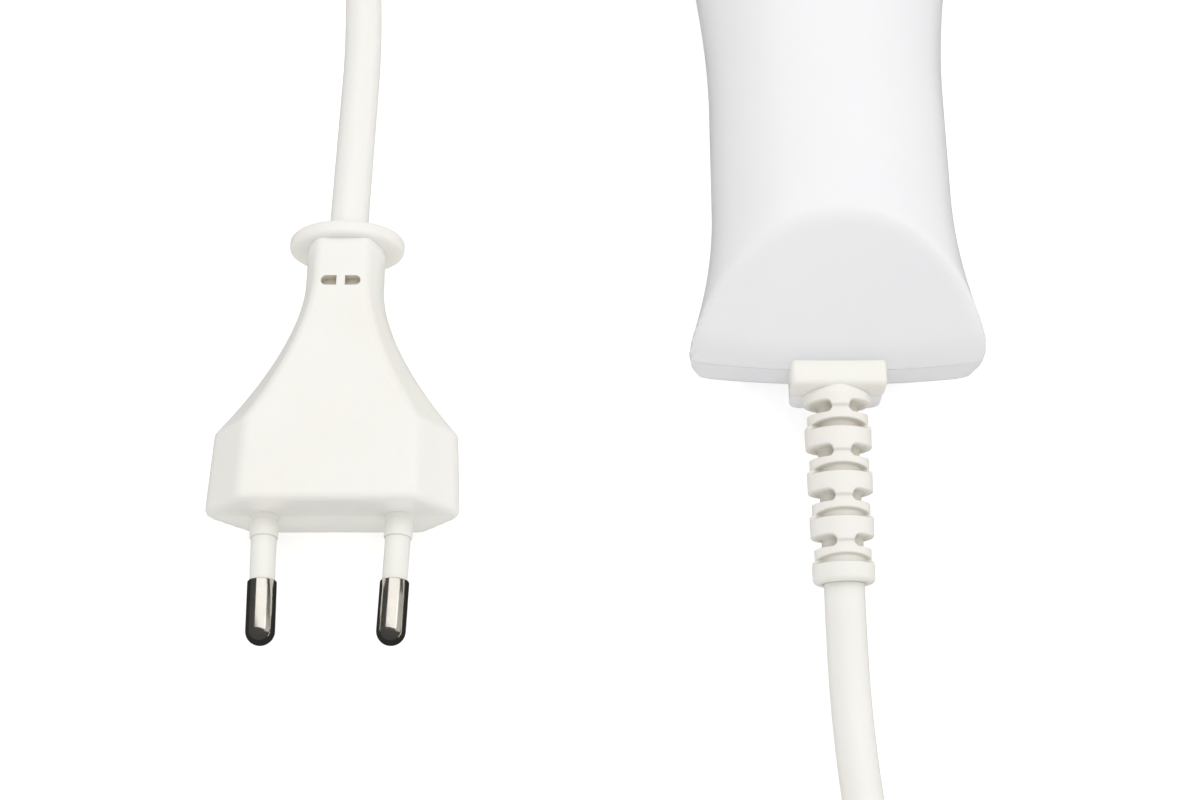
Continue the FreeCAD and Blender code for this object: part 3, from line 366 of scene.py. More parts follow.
def smooth_max(a, b, blend):
    """Larger of two fields, with the corner where they meet rounded off."""
    near = np.maximum(blend - np.abs(a - b), 0.0) / blend
    return np.maximum(a, b) + near * near * blend / 4


def cast(field, origins, directions, level, reach=80.0):
    """Points where rays from inside a form cross the level of its field."""
    near = np.zeros(len(origins))
    far = np.full(len(origins), reach)
    for _ in range(36):
        middle = (near + far) / 2
        inside = field(origins + directions * middle[:, None]) < level
        near = np.where(inside, middle, near)
        far = np.where(inside, far, middle)
    return origins + directions * near[:, None]


def ray_grid(field, stations, centre_height, centre_x, angles, level, pole_steps):
    """Rings of points round a spine along Y; the first rings turn over the -Y end to its pole."""
    rings = []
    for step in range(pole_steps, 0, -1):
        tilt = math.pi / 2 * step / pole_steps * 0.999
        directions = np.stack([math.cos(tilt) * np.cos(angles), np.full(len(angles), -math.sin(tilt)),
                               math.cos(tilt) * np.sin(angles)], axis=1)
        origins = np.tile([centre_x, stations[0], centre_height(stations[0])], (len(angles), 1))
        rings.append(cast(field, origins, directions, level))
    for y in stations:
        directions = np.stack([np.cos(angles), np.zeros(len(angles)), np.sin(angles)], axis=1)
        origins = np.tile([centre_x, y, centre_height(y)], (len(angles), 1))
        rings.append(cast(field, origins, directions, level))
    return rings


def mesh_from_rings(name, rings, capped=True, loop=False):
    """Quads between rings of equal size, in millimetres, with flat ends or joined into a loop."""
    count = len(rings[0])
    mesh = bpy.data.meshes.new(name)
    points = np.concatenate(rings) * MM
    faces = []
    pairs = list(zip(range(len(rings) - 1), range(1, len(rings))))
    if loop:
        pairs.append((len(rings) - 1, 0))
    for first, second in pairs:
        for index in range(count):
            after = (index + 1) % count
            faces.append((first * count + index, second * count + index,
                          second * count + after, first * count + after))
    if capped:
        faces.append(tuple(range(count)))
        last = (len(rings) - 1) * count
        faces.append(tuple(last + index for index in reversed(range(count))))
    mesh.from_pydata([tuple(point) for point in points], [], faces)
    return mesh


def tidy_normals(mesh):
    work = bmesh.new()
    work.from_mesh(mesh)
    bmesh.ops.recalc_face_normals(work, faces=work.faces)
    work.to_mesh(mesh)
    work.free()


def block_mesh(name, low, high, bevel=0.0, segments=3, only_y=False):
    """Box from corner to corner in millimetres, its edges, or only its lower Y ones, rounded off."""
    work = bmesh.new()
    bmesh.ops.create_cube(work, size=1.0)
    for vertex in work.verts:
        vertex.co = Vector([(low[axis] if vertex.co[axis] < 0 else high[axis]) * MM for axis in range(3)])
    edges = list(work.edges)
    if only_y:
        edges = [edge for edge in edges
                 if abs((edge.verts[0].co - edge.verts[1].co).normalized().y) > 0.9
                 and edge.verts[0].co.z < (low[2] + high[2]) / 2 * MM]
    if bevel:
        bmesh.ops.bevel(work, geom=edges, offset=bevel * MM, segments=segments, affect="EDGES",
                        profile=0.5)
    mesh = bpy.data.meshes.new(name)
    work.to_mesh(mesh)
    work.free()
    return mesh


def stadium_mesh(name, centre, length, width, low, high, steps=12):
    """Upright racetrack block, its long side along Y."""
    radius = width / 2
    outline = []
    for side in (1, -1):
        for step in range(steps + 1):
            angle = math.pi * step / steps + (0.0 if side > 0 else math.pi)
            outline.append((centre[0] + radius * math.cos(angle),
                            centre[1] + side * (length / 2 - radius) + radius * math.sin(angle)))
    rings = [np.array([(x, y, z) for x, y in outline]) for z in (low, high)]
    mesh = mesh_from_rings(name, rings)
    tidy_normals(mesh)
    return mesh


def rod_mesh(name, start, end, radius, sides=32):
    """Plain round cutter between two points."""
    axis = Vector(end) - Vector(start)
    work = bmesh.new()
    bmesh.ops.create_cone(work, cap_ends=True, segments=sides, radius1=radius * MM,
                          radius2=radius * MM, depth=axis.length * MM)
    turn = axis.to_track_quat("Z", "Y").to_matrix().to_4x4()
    middle = (Vector(start) + Vector(end)) / 2 * MM
    bmesh.ops.transform(work, matrix=Matrix.Translation(middle) @ turn, verts=work.verts)
    mesh = bpy.data.meshes.new(name)
    work.to_mesh(mesh)
    work.free()
    return mesh


def join_meshes(name, meshes):
    work = bmesh.new()
    for mesh in meshes:
        work.from_mesh(mesh)
    mesh = bpy.data.meshes.new(name)
    work.to_mesh(mesh)
    work.free()
    return mesh


def carve(mesh, cutters):
    """The mesh with the cutter meshes cut away, as a new mesh."""
    body = bpy.data.objects.new("carve_body", mesh)
    tool = bpy.data.objects.new("carve_tool", join_meshes("carve_tool", cutters))
    for thing in (body, tool):
        scene.collection.objects.link(thing)
    modifier = body.modifiers.new("carve", "BOOLEAN")
    modifier.object = tool
    modifier.operation = "DIFFERENCE"
    modifier.solver = "EXACT"
    bpy.context.view_layer.update()
    graph = bpy.context.evaluated_depsgraph_get()
    made = bpy.data.meshes.new_from_object(body.evaluated_get(graph))
    for thing in (body, tool):
        bpy.data.objects.remove(thing)
    return made


def shade_by_angle(thing, degrees=35.0):
    """Smooth shading that breaks at edges sharper than the angle."""
    work = bmesh.new()
    work.from_mesh(thing.data)
    for face in work.faces:
        face.smooth = True
    for edge in work.edges:
        edge.smooth = not (edge.is_manifold and edge.calc_face_angle(0.0) > math.radians(degrees))
    work.to_mesh(thing.data)
    work.free()


# ---------------------------------------------------------------- casing

tail_y = -82.2
mouth_y = 68.05
collar_y = -85.0
waist_half, tail_flare, tail_flare_length = 17.0, 4.55, 25.0
head_half, neck_start, head_full = 30.0, 42.0, 134.25
handle_height, head_height, belly_cut = 30.0, 40.0, 0.7
section_power = 2.25
parting_height, seam_gap, wall = 13.0, 0.09, 2.0
cord_axis_z = 10.35
facet_top, facet_length = 15.0, 15.7            # large facet over the cord
belly_facet_top, belly_facet_slope = 7.0, 0.5   # small facet under it
tail_bulge, tail_bulge_half = 1.2, 17.85
tail_half, corner_setback, corner_slope = 21.1, 2.4, 3.0
facet_edge, corner_edge, tail_edge, belly_edge = 2.6, 1.2, 0.9, 0.4


def casing_field(points):
    """Signed distance, roughly, to the handset's outside: negative inside."""
    x = np.abs(points[:, 0])
    distance = points[:, 1] - tail_y
    z = points[:, 2]
    head = smooth_step((distance - neck_start) / (head_full - neck_start))
    half = waist_half + tail_flare * np.maximum(1.0 - distance / tail_flare_length, 0.0) ** 2
    half = half + (head_half - waist_half) * head
    high = handle_height + (head_height - handle_height) * head
    middle = (high - belly_cut) / 2
    rise = (high + belly_cut) / 2
    ring = (x / half) ** section_power + (np.abs(z - middle) / rise) ** section_power
    field = (ring ** (1 / section_power) - 1.0) * np.minimum(half, rise)
    slope = (handle_height - facet_top) / facet_length
    end = -distance + tail_bulge * np.clip(x / tail_bulge_half, 0.0, 1.5) ** 2
    side = x - tail_half - np.maximum(distance - corner_setback, 0.0) * corner_slope
    end = smooth_max(end, side, corner_edge)
    end = smooth_max(end, (z - facet_top - slope * distance) / math.hypot(1, slope), facet_edge)
    end = smooth_max(end, (belly_facet_top - belly_facet_slope * distance - z)
                     / math.hypot(1, belly_facet_slope), facet_edge)
    field = smooth_max(field, end, tail_edge)
    return smooth_max(field, -z, belly_edge)


def spine_height(y):
    """Height of the line inside the casing that its rings are cast from."""
    return 11.0 + 9.0 * float(smooth_step((y - tail_y - 20.0) / 90.0))


def casing_solid():
    """Closed wall of the casing, as a bmesh: outside, inside and the rim at the mouth."""
    angles = np.linspace(0, 2 * math.pi, 264, endpoint=False)
    stations = np.concatenate([np.arange(tail_y + 12.0, tail_y + 30.0, 0.8),
                               np.linspace(tail_y + 30.0, mouth_y, 74)])
    outside = ray_grid(casing_field, stations, spine_height, 0.0, angles, 0.0, 44)
    inner_stations = np.concatenate([np.arange(tail_y + 12.0, tail_y + 30.0, 3.0),
                                     np.linspace(tail_y + 30.0, mouth_y, 30)])
    inside = ray_grid(casing_field, inner_stations, spine_height, 0.0, angles, -wall, 12)
    mesh = mesh_from_rings("casing", outside + inside[::-1], capped=False)
    work = bmesh.new()
    work.from_mesh(mesh)
    work.verts.ensure_lookup_table()
    count, total = len(angles), len(work.verts)
    work.faces.new([work.verts[index] for index in range(count)])
    work.faces.new([work.verts[index] for index in range(total - count, total)])
    bmesh.ops.recalc_face_normals(work, faces=work.faces)
    return work


def half_casing(whole, height, keep_above):
    """One moulding of the casing: the part above or below the parting plane, closed."""
    work = whole.copy()
    cut = bmesh.ops.bisect_plane(work, geom=work.verts[:] + work.edges[:] + work.faces[:],
                                 plane_co=(0, 0, height * MM), plane_no=(0, 0, 1), dist=1e-7,
                                 clear_inner=keep_above, clear_outer=not keep_above)
    rim = [item for item in cut["geom_cut"] if isinstance(item, bmesh.types.BMEdge)]
    bmesh.ops.holes_fill(work, edges=rim, sides=0)
    bmesh.ops.triangulate(work, faces=[face for face in work.faces if len(face.verts) > 4])
    bmesh.ops.recalc_face_normals(work, faces=work.faces)
    mesh = bpy.data.meshes.new("half_casing")
    work.to_mesh(mesh)
    work.free()
    return mesh


pulse_y, level_y = tail_y + 92.0, tail_y + 66.0
pipes_y = (pulse_y - 8.5 + level_y + 5.0) / 2
pipe_count, pipe_pitch, pipe_hole_radius = 5, 2.0, 0.75
vent_y, vent_z, vent_half = 27.2, 22.0, 6.15
intake_count, intake_pitch, intake_half_width = 5, 5.0, 0.9
intake_start, intake_end = 28.3, 42.3
screw_hole_radius, tail_screw, head_screw_y = 2.35, (11.0, tail_y + 9.5, 7.0), 20.7


def vent_cutters():
    return [block_mesh("vent", (low, vent_y - vent_half, vent_z - vent_half),
                       (low + 20.0, vent_y + vent_half, vent_z + vent_half)) for low in (-32.0, 12.0)]


def head_screw_x():
    """How far the head's screws stand from the middle, beside the wall there."""
    head = float(smooth_step((head_screw_y - tail_y - neck_start) / (head_full - neck_start)))
    return waist_half + (head_half - waist_half) * head - wall - 4.6


def make_casing():
    whole = casing_solid()
    upper = half_casing(whole, parting_height + seam_gap, True)
    lower = half_casing(whole, parting_height, False)
    whole.free()
    cutters = [
        stadium_mesh("hole", (0, pulse_y), 17.7, 11.7, 23.0, 60.0),
        stadium_mesh("hole", (0, level_y), 10.7, 9.7, 23.0, 60.0),
        block_mesh("hole", (-6.6, -95.0, 8.0), (6.6, -75.0, 15.0), 0.8, 5),
    ] + vent_cutters()
    for index in range(pipe_count):
        y = pipes_y + (index - (pipe_count - 1) // 2) * pipe_pitch
        cutters.append(rod_mesh("hole", (0, y, 24.0), (0, y, 60.0), pipe_hole_radius, 20))
    upper = carve(upper, cutters)
    cutters = [block_mesh("hole", (-6.35, -95.0, 6.3), (6.35, -75.0, 16.0))]
    for index in range(intake_count):
        x = (index - (intake_count - 1) // 2) * intake_pitch
        cutters.append(block_mesh("hole", (x - intake_half_width, intake_start, -2.0),
                                  (x + intake_half_width, intake_end, 3.2)))
    for place_x, y, seat in (tail_screw, (head_screw_x(), head_screw_y, 5.5)):
        for x in (-place_x, place_x):
            cutters.append(rod_mesh("hole", (x, y, -2.0), (x, y, seat), screw_hole_radius))
    lower = carve(lower, cutters)
    for name, mesh, node, slot in (("upper_casing", upper, "upper_shell", "casing"),
                                   ("lower_casing", lower, "lower_shell", "casing_lower")):
        piece = add_piece(name, mesh, "handset", slot)
        shade_by_angle(piece)
        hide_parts(node)


def make_cradle():
    """Square snout of the lower casing that carries the strain relief's collar."""
    mesh = block_mesh("cradle", (-6.4, -84.75, 6.2), (6.4, -78.2, 10.42), 1.7, 6, only_y=True)
    piece = add_piece("cord_cradle", mesh, "handset", "casing_lower")
    modifier = piece.modifiers.new("round", "BEVEL")
    modifier.width = 0.18 * MM
    modifier.segments = 2
    modifier.limit_method = "ANGLE"
    modifier.angle_limit = math.radians(40.0)
    modifier.harden_normals = False


make_casing()
make_cradle()


# ---------------------------------------------------------------- strain relief

sleeve_length = 26.3
sleeve_start, sleeve_end_radius, core_radius = 4.7, 4.25, 3.35
slot_core_radius = 2.85
slot_places = [2.0 + 6.25 * index for index in range(4)]
notch_offset, slot_half, rib_half = 2.4, 0.75, 1.4
step_depth = 0.42             # how much thinner the sleeve is between a slot and its notch
lip = 0.32                    # width of the rounded lip of slots and notches
end_edge = 0.7
droop, lean = math.radians(10.0), math.radians(-0.7)
sleeve_axis = np.array([-math.sin(lean) * math.cos(droop), -math.cos(lean) * math.cos(droop),
                        -math.sin(droop)])
sleeve_side = np.cross(sleeve_axis, [0.0, 0.0, 1.0])
sleeve_side /= np.linalg.norm(sleeve_side)
sleeve_up = np.cross(sleeve_side, sleeve_axis)


def edge_blend(distance, width):
    """1 well inside a cut-out, 0 outside it, with a rounded lip between."""
    return smooth_step(0.5 - distance / width)


def sleeve_radius(along, angle):
    """Radius of the slotted sleeve at a distance from the collar and an angle about its axis."""
    base = sleeve_start + (sleeve_end_radius - sleeve_start) * along / sleeve_length
    across = np.abs(base * np.cos(angle))
    step = np.zeros_like(base)
    depth = np.zeros_like(base)
    deep = np.zeros_like(base)
    for place in slot_places:
        between = np.abs(along - place - notch_offset / 2) - notch_offset / 2
        step = np.maximum(step, edge_blend(between, 0.3))
        past = np.maximum(rib_half + slot_half - across, 0.0)
        slot = np.hypot(past, along - place) - slot_half
        deep = np.maximum(deep, edge_blend(slot, lip))
        notch = place + notch_offset
        arch = np.sqrt(np.clip(1.0 - (across / 4.5) ** 2, 0.0, 1.0))
        crescent = np.maximum(along - notch - 0.5, notch + 0.35 - 0.95 * arch - along)
        crescent = np.maximum(crescent, (across - 4.1) * 0.6)
        depth = np.maximum(depth, edge_blend(crescent, lip))
    radius = base - step_depth * step
    radius = radius - (radius - core_radius) * depth
    radius = np.minimum(radius, base - (base - slot_core_radius) * deep)
    tail = np.clip((along - sleeve_length + end_edge) / end_edge, 0.0, 1.0)
    return radius - end_edge * (1.0 - np.sqrt(np.clip(1.0 - tail ** 2, 0.0, 1.0)))


def ring_points(along, radius, angles):
    centre = np.array([0.0, collar_y, cord_axis_z]) + sleeve_axis * along
    return (centre + sleeve_side * (radius * np.cos(angles))[:, None]
            + sleeve_up * (radius * np.sin(angles))[:, None])


def sleeve_mesh():
    angles = np.linspace(0, 2 * math.pi, 176, endpoint=False)
    turn_in = sleeve_length - end_edge
    stations = np.concatenate([[-2.0, -0.6], np.arange(0.0, turn_in, 0.115),
                               turn_in + end_edge * np.sin(np.linspace(0, math.pi / 2, 9))])
    rings = []
    for along in stations:
        radius = sleeve_radius(np.full(len(angles), max(along, 0.0)), angles)
        if along < 0:
            radius = np.full(len(angles), 4.3)
        rings.append(ring_points(along, radius, angles))
    rings.append(ring_points(sleeve_length, np.full(len(angles), 2.95), angles))
    rings.append(ring_points(sleeve_length - 0.8, np.full(len(angles), 2.7), angles))
    mesh = mesh_from_rings("sleeve", rings)
    tidy_normals(mesh)
    return mesh


def make_relief():
    collar = block_mesh("collar", (-6.65, collar_y, 10.5), (6.65, -78.4, 15.05), 0.8, 5)
    collar_piece = add_piece("relief_collar", collar, "handset", "strain_relief")
    shade_by_angle(collar_piece, 50)
    sleeve = add_piece("relief_sleeve", sleeve_mesh(), "handset", "strain_relief")
    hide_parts("strain_relief")
    return [collar_piece, sleeve]


relief_pieces = make_relief()


# ---------------------------------------------------------------- plug

plug_x, plug_z, plug_face = -70.0, 6.85, -101.4
straight_length, flare_length, neck_length = 12.0, 23.2, 5.8
plug_shoulder = plug_face + straight_length
plug_neck = plug_shoulder + flare_length
plug_collar = plug_neck + neck_length
neck_width, neck_flat, neck_thickness = 11.2, 7.4, 10.6
plug_width, plug_flat, plug_swell = 34.3, 23.8, 3.1   # at the shoulder


def plug_outline(y):
    """Half width, half flat, half side height and half thickness of the plug at a place along it."""
    share = np.clip((y - plug_shoulder) / flare_length, 0.0, 1.0)
    spread = (1 - share) ** 1.7
    level = (1 - share) ** 1.4
    back = np.clip((y - plug_face) / straight_length, 0.0, 1.0)
    half = (neck_width + (plug_width - neck_width) * spread) / 2 + 0.5 * (1 - back)
    flat = (neck_flat + (plug_flat - neck_flat) * spread) / 2 + 0.3 * (1 - back)
    return half, flat, (2.0 + 2.0 * share) / 2, (neck_thickness + plug_swell * level) / 2


def plug_field(points):
    """Signed distance, roughly, to the plug's outside, with the fine mould line at mid height."""
    half, flat, side, rise = plug_outline(points[:, 1])
    x = np.abs(points[:, 0] - plug_x)
    z = np.abs(points[:, 2] - plug_z)
    run = half - flat
    climb = rise - side
    slope = ((z - rise) * run + (x - flat) * climb) / np.hypot(run, climb)
    field = smooth_max(smooth_max(z - rise, slope, 0.8), x - half, 1.0)
    field = smooth_max(field, plug_face - points[:, 1], 1.1)
    return field + 0.07 * np.exp(-(z / 0.16) ** 2)


def stadium_block(centre, y, side):
    """Upright slot cutter, square towards the plug's middle and round at its outer end."""
    outline = []
    inner, outer, half = centre - side * 1.12, centre + side * 1.12, 0.78
    for step in range(13):
        angle = -math.pi / 2 + math.pi * step / 12
        outline.append((outer - side * half + side * half * math.cos(angle), y + half * math.sin(angle)))
    outline += [(inner, y + half), (inner, y - half)]
    rings = [np.array([(x, across, z) for x, across in outline]) for z in (plug_z + 3.9, plug_z + 8.0)]
    mesh = mesh_from_rings("slot", rings)
    tidy_normals(mesh)
    return mesh


def mirrored(mesh):
    """The same cutter on the plug's underside."""
    made = mesh.copy()
    made.transform(Matrix.Translation((0, 0, 2 * plug_z * MM)) @ Matrix.Scale(-1, 4, (0, 0, 1)))
    made.flip_normals()
    return made


def plug_mesh():
    even = np.linspace(0, 2 * math.pi, 300, endpoint=False)
    extra = [centre + math.radians(offset) for centre in (0.0, math.pi)
             for offset in (-2.0, -1.5, -0.9, -0.6, -0.3, 0.3, 0.6, 0.9, 1.5, 2.0)]
    angles = np.unique(np.mod(np.concatenate([even, extra]), 2 * math.pi))
    stations = np.concatenate([np.arange(plug_face + 8.0, plug_shoulder + 4.0, 0.35),
                               np.arange(plug_shoulder + 4.0, plug_neck, 0.6),
                               np.linspace(plug_neck, plug_collar + 0.6, 12)])
    rings = ray_grid(plug_field, stations, lambda y: plug_z, plug_x, angles, 0.0, 60)
    mesh = mesh_from_rings("plug", rings)
    tidy_normals(mesh)
    slots = []
    for side in (-1, 1):
        top = stadium_block(plug_x + side * 1.72, plug_neck - 1.1, side)
        slots += [top, mirrored(top)]
    return carve(mesh, slots)


def collar_ring(y, half_width, half_height, angles):
    return np.stack([plug_x + half_width * np.cos(angles), np.full(len(angles), y),
                     plug_z + half_height * np.sin(angles)], axis=1)


def make_collar_mesh():
    """Oval flange behind the plug's neck, with the cord's mouth in its far face."""
    half_width, half_height, thickness, edge = 8.35, 6.5, 2.5, 0.85
    angles = np.linspace(0, 2 * math.pi, 128, endpoint=False)
    turns = [math.pi / 2 * step / 8 for step in range(9)]
    front = [(edge * (1 - math.cos(turn)), 1 - edge * (1 - math.sin(turn)) / 7.4) for turn in turns]
    places = [(0.0, 0.5)] + front + [(thickness - along, share) for along, share in reversed(front)]
    rings = [collar_ring(plug_collar + along, half_width * share, half_height * share, angles)
             for along, share in places]
    for along, radius in ((thickness, 3.3), (2.2, 2.95), (1.0, 2.75)):
        rings.append(collar_ring(plug_collar + along, radius, radius, angles))
    mesh = mesh_from_rings("plug_collar", rings)
    tidy_normals(mesh)
    return mesh


def lathe(name, profile, sides=56):
    """Surface turned about the pin's axis: pairs of distance from the plug's face and radius."""
    angles = np.linspace(0, 2 * math.pi, sides, endpoint=False)
    rings = []
    for along, radius in profile:
        rings.append(np.stack([radius * np.cos(angles), np.full(sides, -along),
                               radius * np.sin(angles)], axis=1))
    mesh = mesh_from_rings(name, rings)
    tidy_normals(mesh)
    return mesh


def rounded_step(along, radius, next_radius, edge):
    """Profile points over a shoulder between two radii, its outer edge rounded."""
    outer = max(radius, next_radius)
    inner = min(radius, next_radius)
    turn = [math.pi / 2 * step / 4 for step in range(5)]
    if radius > next_radius:
        points = [(along - edge + edge * math.sin(a), outer - edge + edge * math.cos(a)) for a in turn]
        return points + [(along, inner)]
    points = [(along + edge - edge * math.cos(a), outer - edge + edge * math.sin(a)) for a in turn]
    return [(along, inner)] + points


def make_pins():
    """Insulating cover and metal of both pins, which lean together towards their tips."""
    root_spacing, tip_spacing, length = 18.6, 17.5, 18.5
    pin_radius, tip_start = 2.0, 16.5
    lean_angle = math.atan((root_spacing - tip_spacing) / 2 / length)
    pieces = []
    sleeve_profile = [(-2.0, 1.93), (0.0, 1.95), (0.55, 1.95), (0.75, 1.86), (0.95, 1.95)]
    sleeve_profile += rounded_step(3.2, 1.95, 1.75, 0.12) + [(6.0, 1.74)]
    sleeve_profile += rounded_step(9.48, 1.74, 1.2, 0.1)
    metal_profile = rounded_step(9.5, 1.0, pin_radius, 0.12)
    metal_profile += [(along, pin_radius) for along in (12.0, 14.0, tip_start)]
    for step in range(1, 13):
        turn = math.pi / 2 * step / 12
        metal_profile.append((tip_start + pin_radius * math.sin(turn),
                              max(pin_radius * math.cos(turn), 0.02)))
    for side, word in ((-1, "left"), (1, "right")):
        root = (plug_x + side * root_spacing / 2, plug_face, plug_z)
        place = Matrix.Translation([value * MM for value in root])
        place = place @ Matrix.Rotation(-side * lean_angle, 4, "Z")
        for label, profile, slot, node in (("pin_cover", sleeve_profile, "pin_sleeve", "pin_sleeve"),
                                           ("pin_metal", metal_profile, "nickel", "plug_pin")):
            mesh = lathe(label, profile)
            mesh.transform(place)
            piece = add_piece(label + "_" + word, mesh, "handset", slot)
            shade_by_angle(piece, 40)
            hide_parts(node + "_" + word)
            pieces.append(piece)
    return pieces


def make_plug():
    body = add_piece("plug_moulding", plug_mesh(), "handset", "plug")
    shade_by_angle(body, 42)
    bead = add_piece("plug_bead", make_collar_mesh(), "handset", "plug")
    shade_by_angle(bead, 50)
    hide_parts("plug_body")
    return [body, bead] + make_pins()


plug_pieces = make_plug()


# ---------------------------------------------------------------- cord

cord_diameter = 5.6
lying = 2.85                  # height of the middle of a cord that lies on the surface
coil_x, coil_y = -74.0, 82.0
coil_turn_radius = 37.5
coil_turns = 3.125
coil_lift = 0.8               # the strap passes under the coil
turn_points = 16
layer_change = 0.5            # of a turn, to climb from the lower layer to the upper one

relief_end = (0.32, -110.90, 5.78)
relief_run = (0.45, -121.73, 3.87)
handset_route = [
    relief_end, relief_run, (1.1, -134.0, 2.95), (2.2, -144.5, lying), (2.4, -161.1, lying),
    (11.1, -176.1, lying), (26.0, -184.8, lying), (43.3, -184.8, lying), (58.3, -176.1, lying),
    (67.0, -160.9, lying), (69.4, -138.0, lying), (67.8, -97.0, lying), (71.0, -42.0, lying),
    (68.0, 14.0, lying), (62.0, 60.0, lying), (45.0, 95.0, lying), (14.0, 116.0, lying),
    (-20.0, 121.6, lying), (-45.0, 120.3, 3.2), (-65.0, 119.5, 3.6),
]
plug_route = [
    (-111.5, 72.0, 9.2), (-110.5, 54.0, 7.6), (-100.0, 33.0, 5.2), (-83.5, 18.0, 3.4),
    (-71.2, 1.0, 2.95), (-69.7, -20.0, 3.1), (-69.9, -39.0, 4.8), (-70.0, -57.9, 6.85),
]


def coil_route():
    """Counter-clockwise turns: inward on the lower layer, outward on the upper one."""
    points = []
    low = coil_lift + cord_diameter / 2
    count = int(coil_turns * turn_points)
    for index in range(2 * count + 1):
        turn = coil_turns * index / count
        angle = math.pi / 2 + 2 * math.pi * turn
        radius = coil_turn_radius - cord_diameter * min(turn, 2 * coil_turns - turn)
        climb = smooth_step((turn - coil_turns) / layer_change + 0.5)
        points.append((coil_x + radius * math.cos(angle), coil_y + radius * math.sin(angle),
                       low + cord_diameter * climb))
    return points


def make_cord():
    """One smooth curve from the strain relief through the coil to the plug."""
    route = handset_route + coil_route() + plug_route
    curve = bpy.data.curves.new("cord", "CURVE")
    curve.dimensions = "3D"
    curve.bevel_depth = cord_diameter / 2 * MM
    curve.bevel_resolution = 6
    curve.resolution_u = 10
    curve.use_fill_caps = True
    spline = curve.splines.new("NURBS")
    spline.points.add(len(route) - 1)
    for point, place in zip(spline.points, route):
        point.co = (*[value * MM for value in place], 1.0)
    spline.order_u = 3
    spline.use_endpoint_u = True
    curve.materials.append(finishes["cord"])
    cord = bpy.data.objects.new("cord", curve)
    scene.collection.objects.link(cord)
    return cord


tie_half_width, tie_thick = 3.0, 0.8


def make_tie():
    """Reusable strap round the coil's two layers: one closed band with a ribbed face."""
    cord_radius = cord_diameter / 2
    inner_radius = coil_turn_radius - coil_turns * cord_diameter - cord_radius
    inner_y = coil_y + math.sqrt(inner_radius ** 2 - tie_half_width ** 2)
    outer_y = coil_y + coil_turn_radius + cord_radius
    middle_y, middle_z = (inner_y + outer_y) / 2, cord_diameter + tie_thick
    half_y, half_z = (outer_y - inner_y) / 2 + tie_thick, cord_diameter + tie_thick
    turns = np.linspace(0, 2 * math.pi, 160, endpoint=False)
    power = 2 / 7.0
    shape_y = np.sign(np.cos(turns)) * np.abs(np.cos(turns)) ** power
    shape_z = np.sign(np.sin(turns)) * np.abs(np.sin(turns)) ** power
    ribs = [(-3.0, 0.25), (-2.8, 0.05), (-2.0, 0.0), (-1.0, 0.06), (0.0, 0.0), (1.0, 0.06),
            (2.0, 0.0), (2.8, 0.05), (3.0, 0.25)]
    lining = [(x * 0.99, tie_thick - 0.05) for x, dip in reversed(ribs)]
    rings = []
    for x, dip in ribs + lining:
        rings.append(np.stack([np.full(len(turns), coil_x + x), middle_y + (half_y - dip) * shape_y,
                               middle_z + (half_z - dip) * shape_z], axis=1))
    mesh = mesh_from_rings("tie", rings, capped=False, loop=True)
    tidy_normals(mesh)
    piece = add_piece("coil_tie", mesh, "handset", "tie")
    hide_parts("cord_tie")
    return piece


cord = make_cord()
coil_tie = make_tie()
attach(cord, "handset")
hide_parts("cord_handset_run", "cord_plug_run", "cord_coil")


# ---------------------------------------------------------------- buttons

button_proud = 0.6


def casing_top(x, y):
    """Height of the casing's upper surface over an array of points."""
    low = np.full(len(x), 12.0)
    high = np.full(len(x), 60.0)
    for _ in range(32):
        middle = (low + high) / 2
        inside = casing_field(np.stack([x, y, middle], axis=1)) < 0
        low = np.where(inside, middle, low)
        high = np.where(inside, high, middle)
    return low


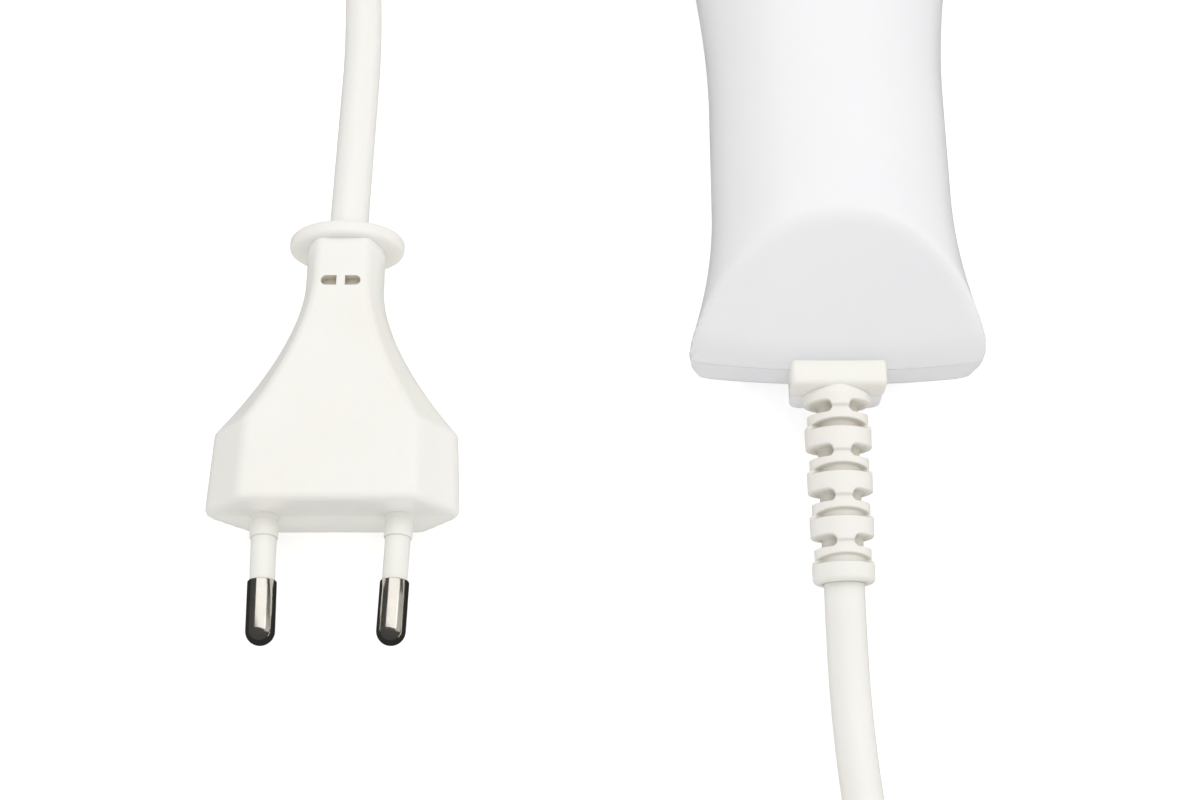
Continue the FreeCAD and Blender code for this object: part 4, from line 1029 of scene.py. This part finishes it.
def make_button(name, node, y, length, width, slot, dish):
    """Cap that follows the casing's curve, with a rolled edge, a thumb dish and a stem below."""
    turns = np.linspace(0, 2 * math.pi, 112, endpoint=False)
    half_width = width / 2
    straight = length / 2 - half_width
    outline_x = half_width * np.cos(turns)
    outline_y = straight * np.sign(np.sin(turns)) + half_width * np.sin(turns)
    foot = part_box(node)[0].z / MM
    rings = []
    for share, height in [(0.35, foot), (0.35, foot + 1.6), (1.0, foot + 2.0)]:
        rings.append(np.stack([share * outline_x, y + share * outline_y, np.full(len(turns), height)],
                              axis=1))
    steps = [(1.0, -1.6), (1.0, -0.35), (0.995, -0.12), (0.975, 0.02), (0.94, 0.09)]
    steps += [(share, 0.1) for share in (0.88, 0.8, 0.7, 0.58, 0.45, 0.3, 0.15, 0.02)]
    for share, lift in steps:
        x, along = share * outline_x, y + share * outline_y
        top = casing_top(x, along) + button_proud + lift
        reach = np.clip((0.9 - share) / 0.9, 0.0, 1.0)
        rings.append(np.stack([x, along, top - dish * smooth_step(reach * 1.3)], axis=1))
    mesh = mesh_from_rings(name, rings)
    tidy_normals(mesh)
    piece = add_piece(name, mesh, node, slot)
    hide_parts(node)
    shade_by_angle(piece, 50)


make_button("pulse_cap", "pulse_button", pulse_y, 17.3, 11.3, "button", 0.35)
make_button("level_cap", "level_button", level_y, 10.3, 9.3, "button_small", 0.2)


# ---------------------------------------------------------------- floor and finish

def darken_reflection(finish, level):
    """Shiny surfaces see the paper as dim, so that their edges stay defined against it."""
    ray = finish.node("ShaderNodeLightPath")
    dim = finish.node("ShaderNodeEmission")
    dim.inputs["Strength"].default_value = level
    choose = finish.node("ShaderNodeMixShader")
    output = [node for node in finish.tree.nodes if node.type == "OUTPUT_MATERIAL"][0]
    finish.link(ray.outputs["Is Glossy Ray"], choose.inputs[0])
    finish.link(finish.shader.outputs["BSDF"], choose.inputs[1])
    finish.link(dim.outputs["Emission"], choose.inputs[2])
    finish.link(choose.outputs["Shader"], output.inputs["Surface"])


def make_floor():
    half, drop = 3.0, -0.0002
    corners = [(-half, -half, drop), (half, -half, drop), (half, half, drop), (-half, half, drop)]
    mesh = bpy.data.meshes.new("floor")
    mesh.from_pydata(corners, [], [(0, 1, 2, 3)])
    floor = bpy.data.objects.new("floor", mesh)
    scene.collection.objects.link(floor)
    paper = Finish("floor_paper", (0.93, 0.93, 0.93), 0.9)
    paper.tint(paper.noise(6.0), (0.92, 0.92, 0.92), 0.6)
    paper.bump(paper.noise(900.0), 0.03, 0.0001)
    paper.set(Emission_Color=(1.0, 1.0, 1.0, 1.0), Emission_Strength=0.3)
    darken_reflection(paper, 0.03)
    mesh.materials.append(paper.material)


make_floor()
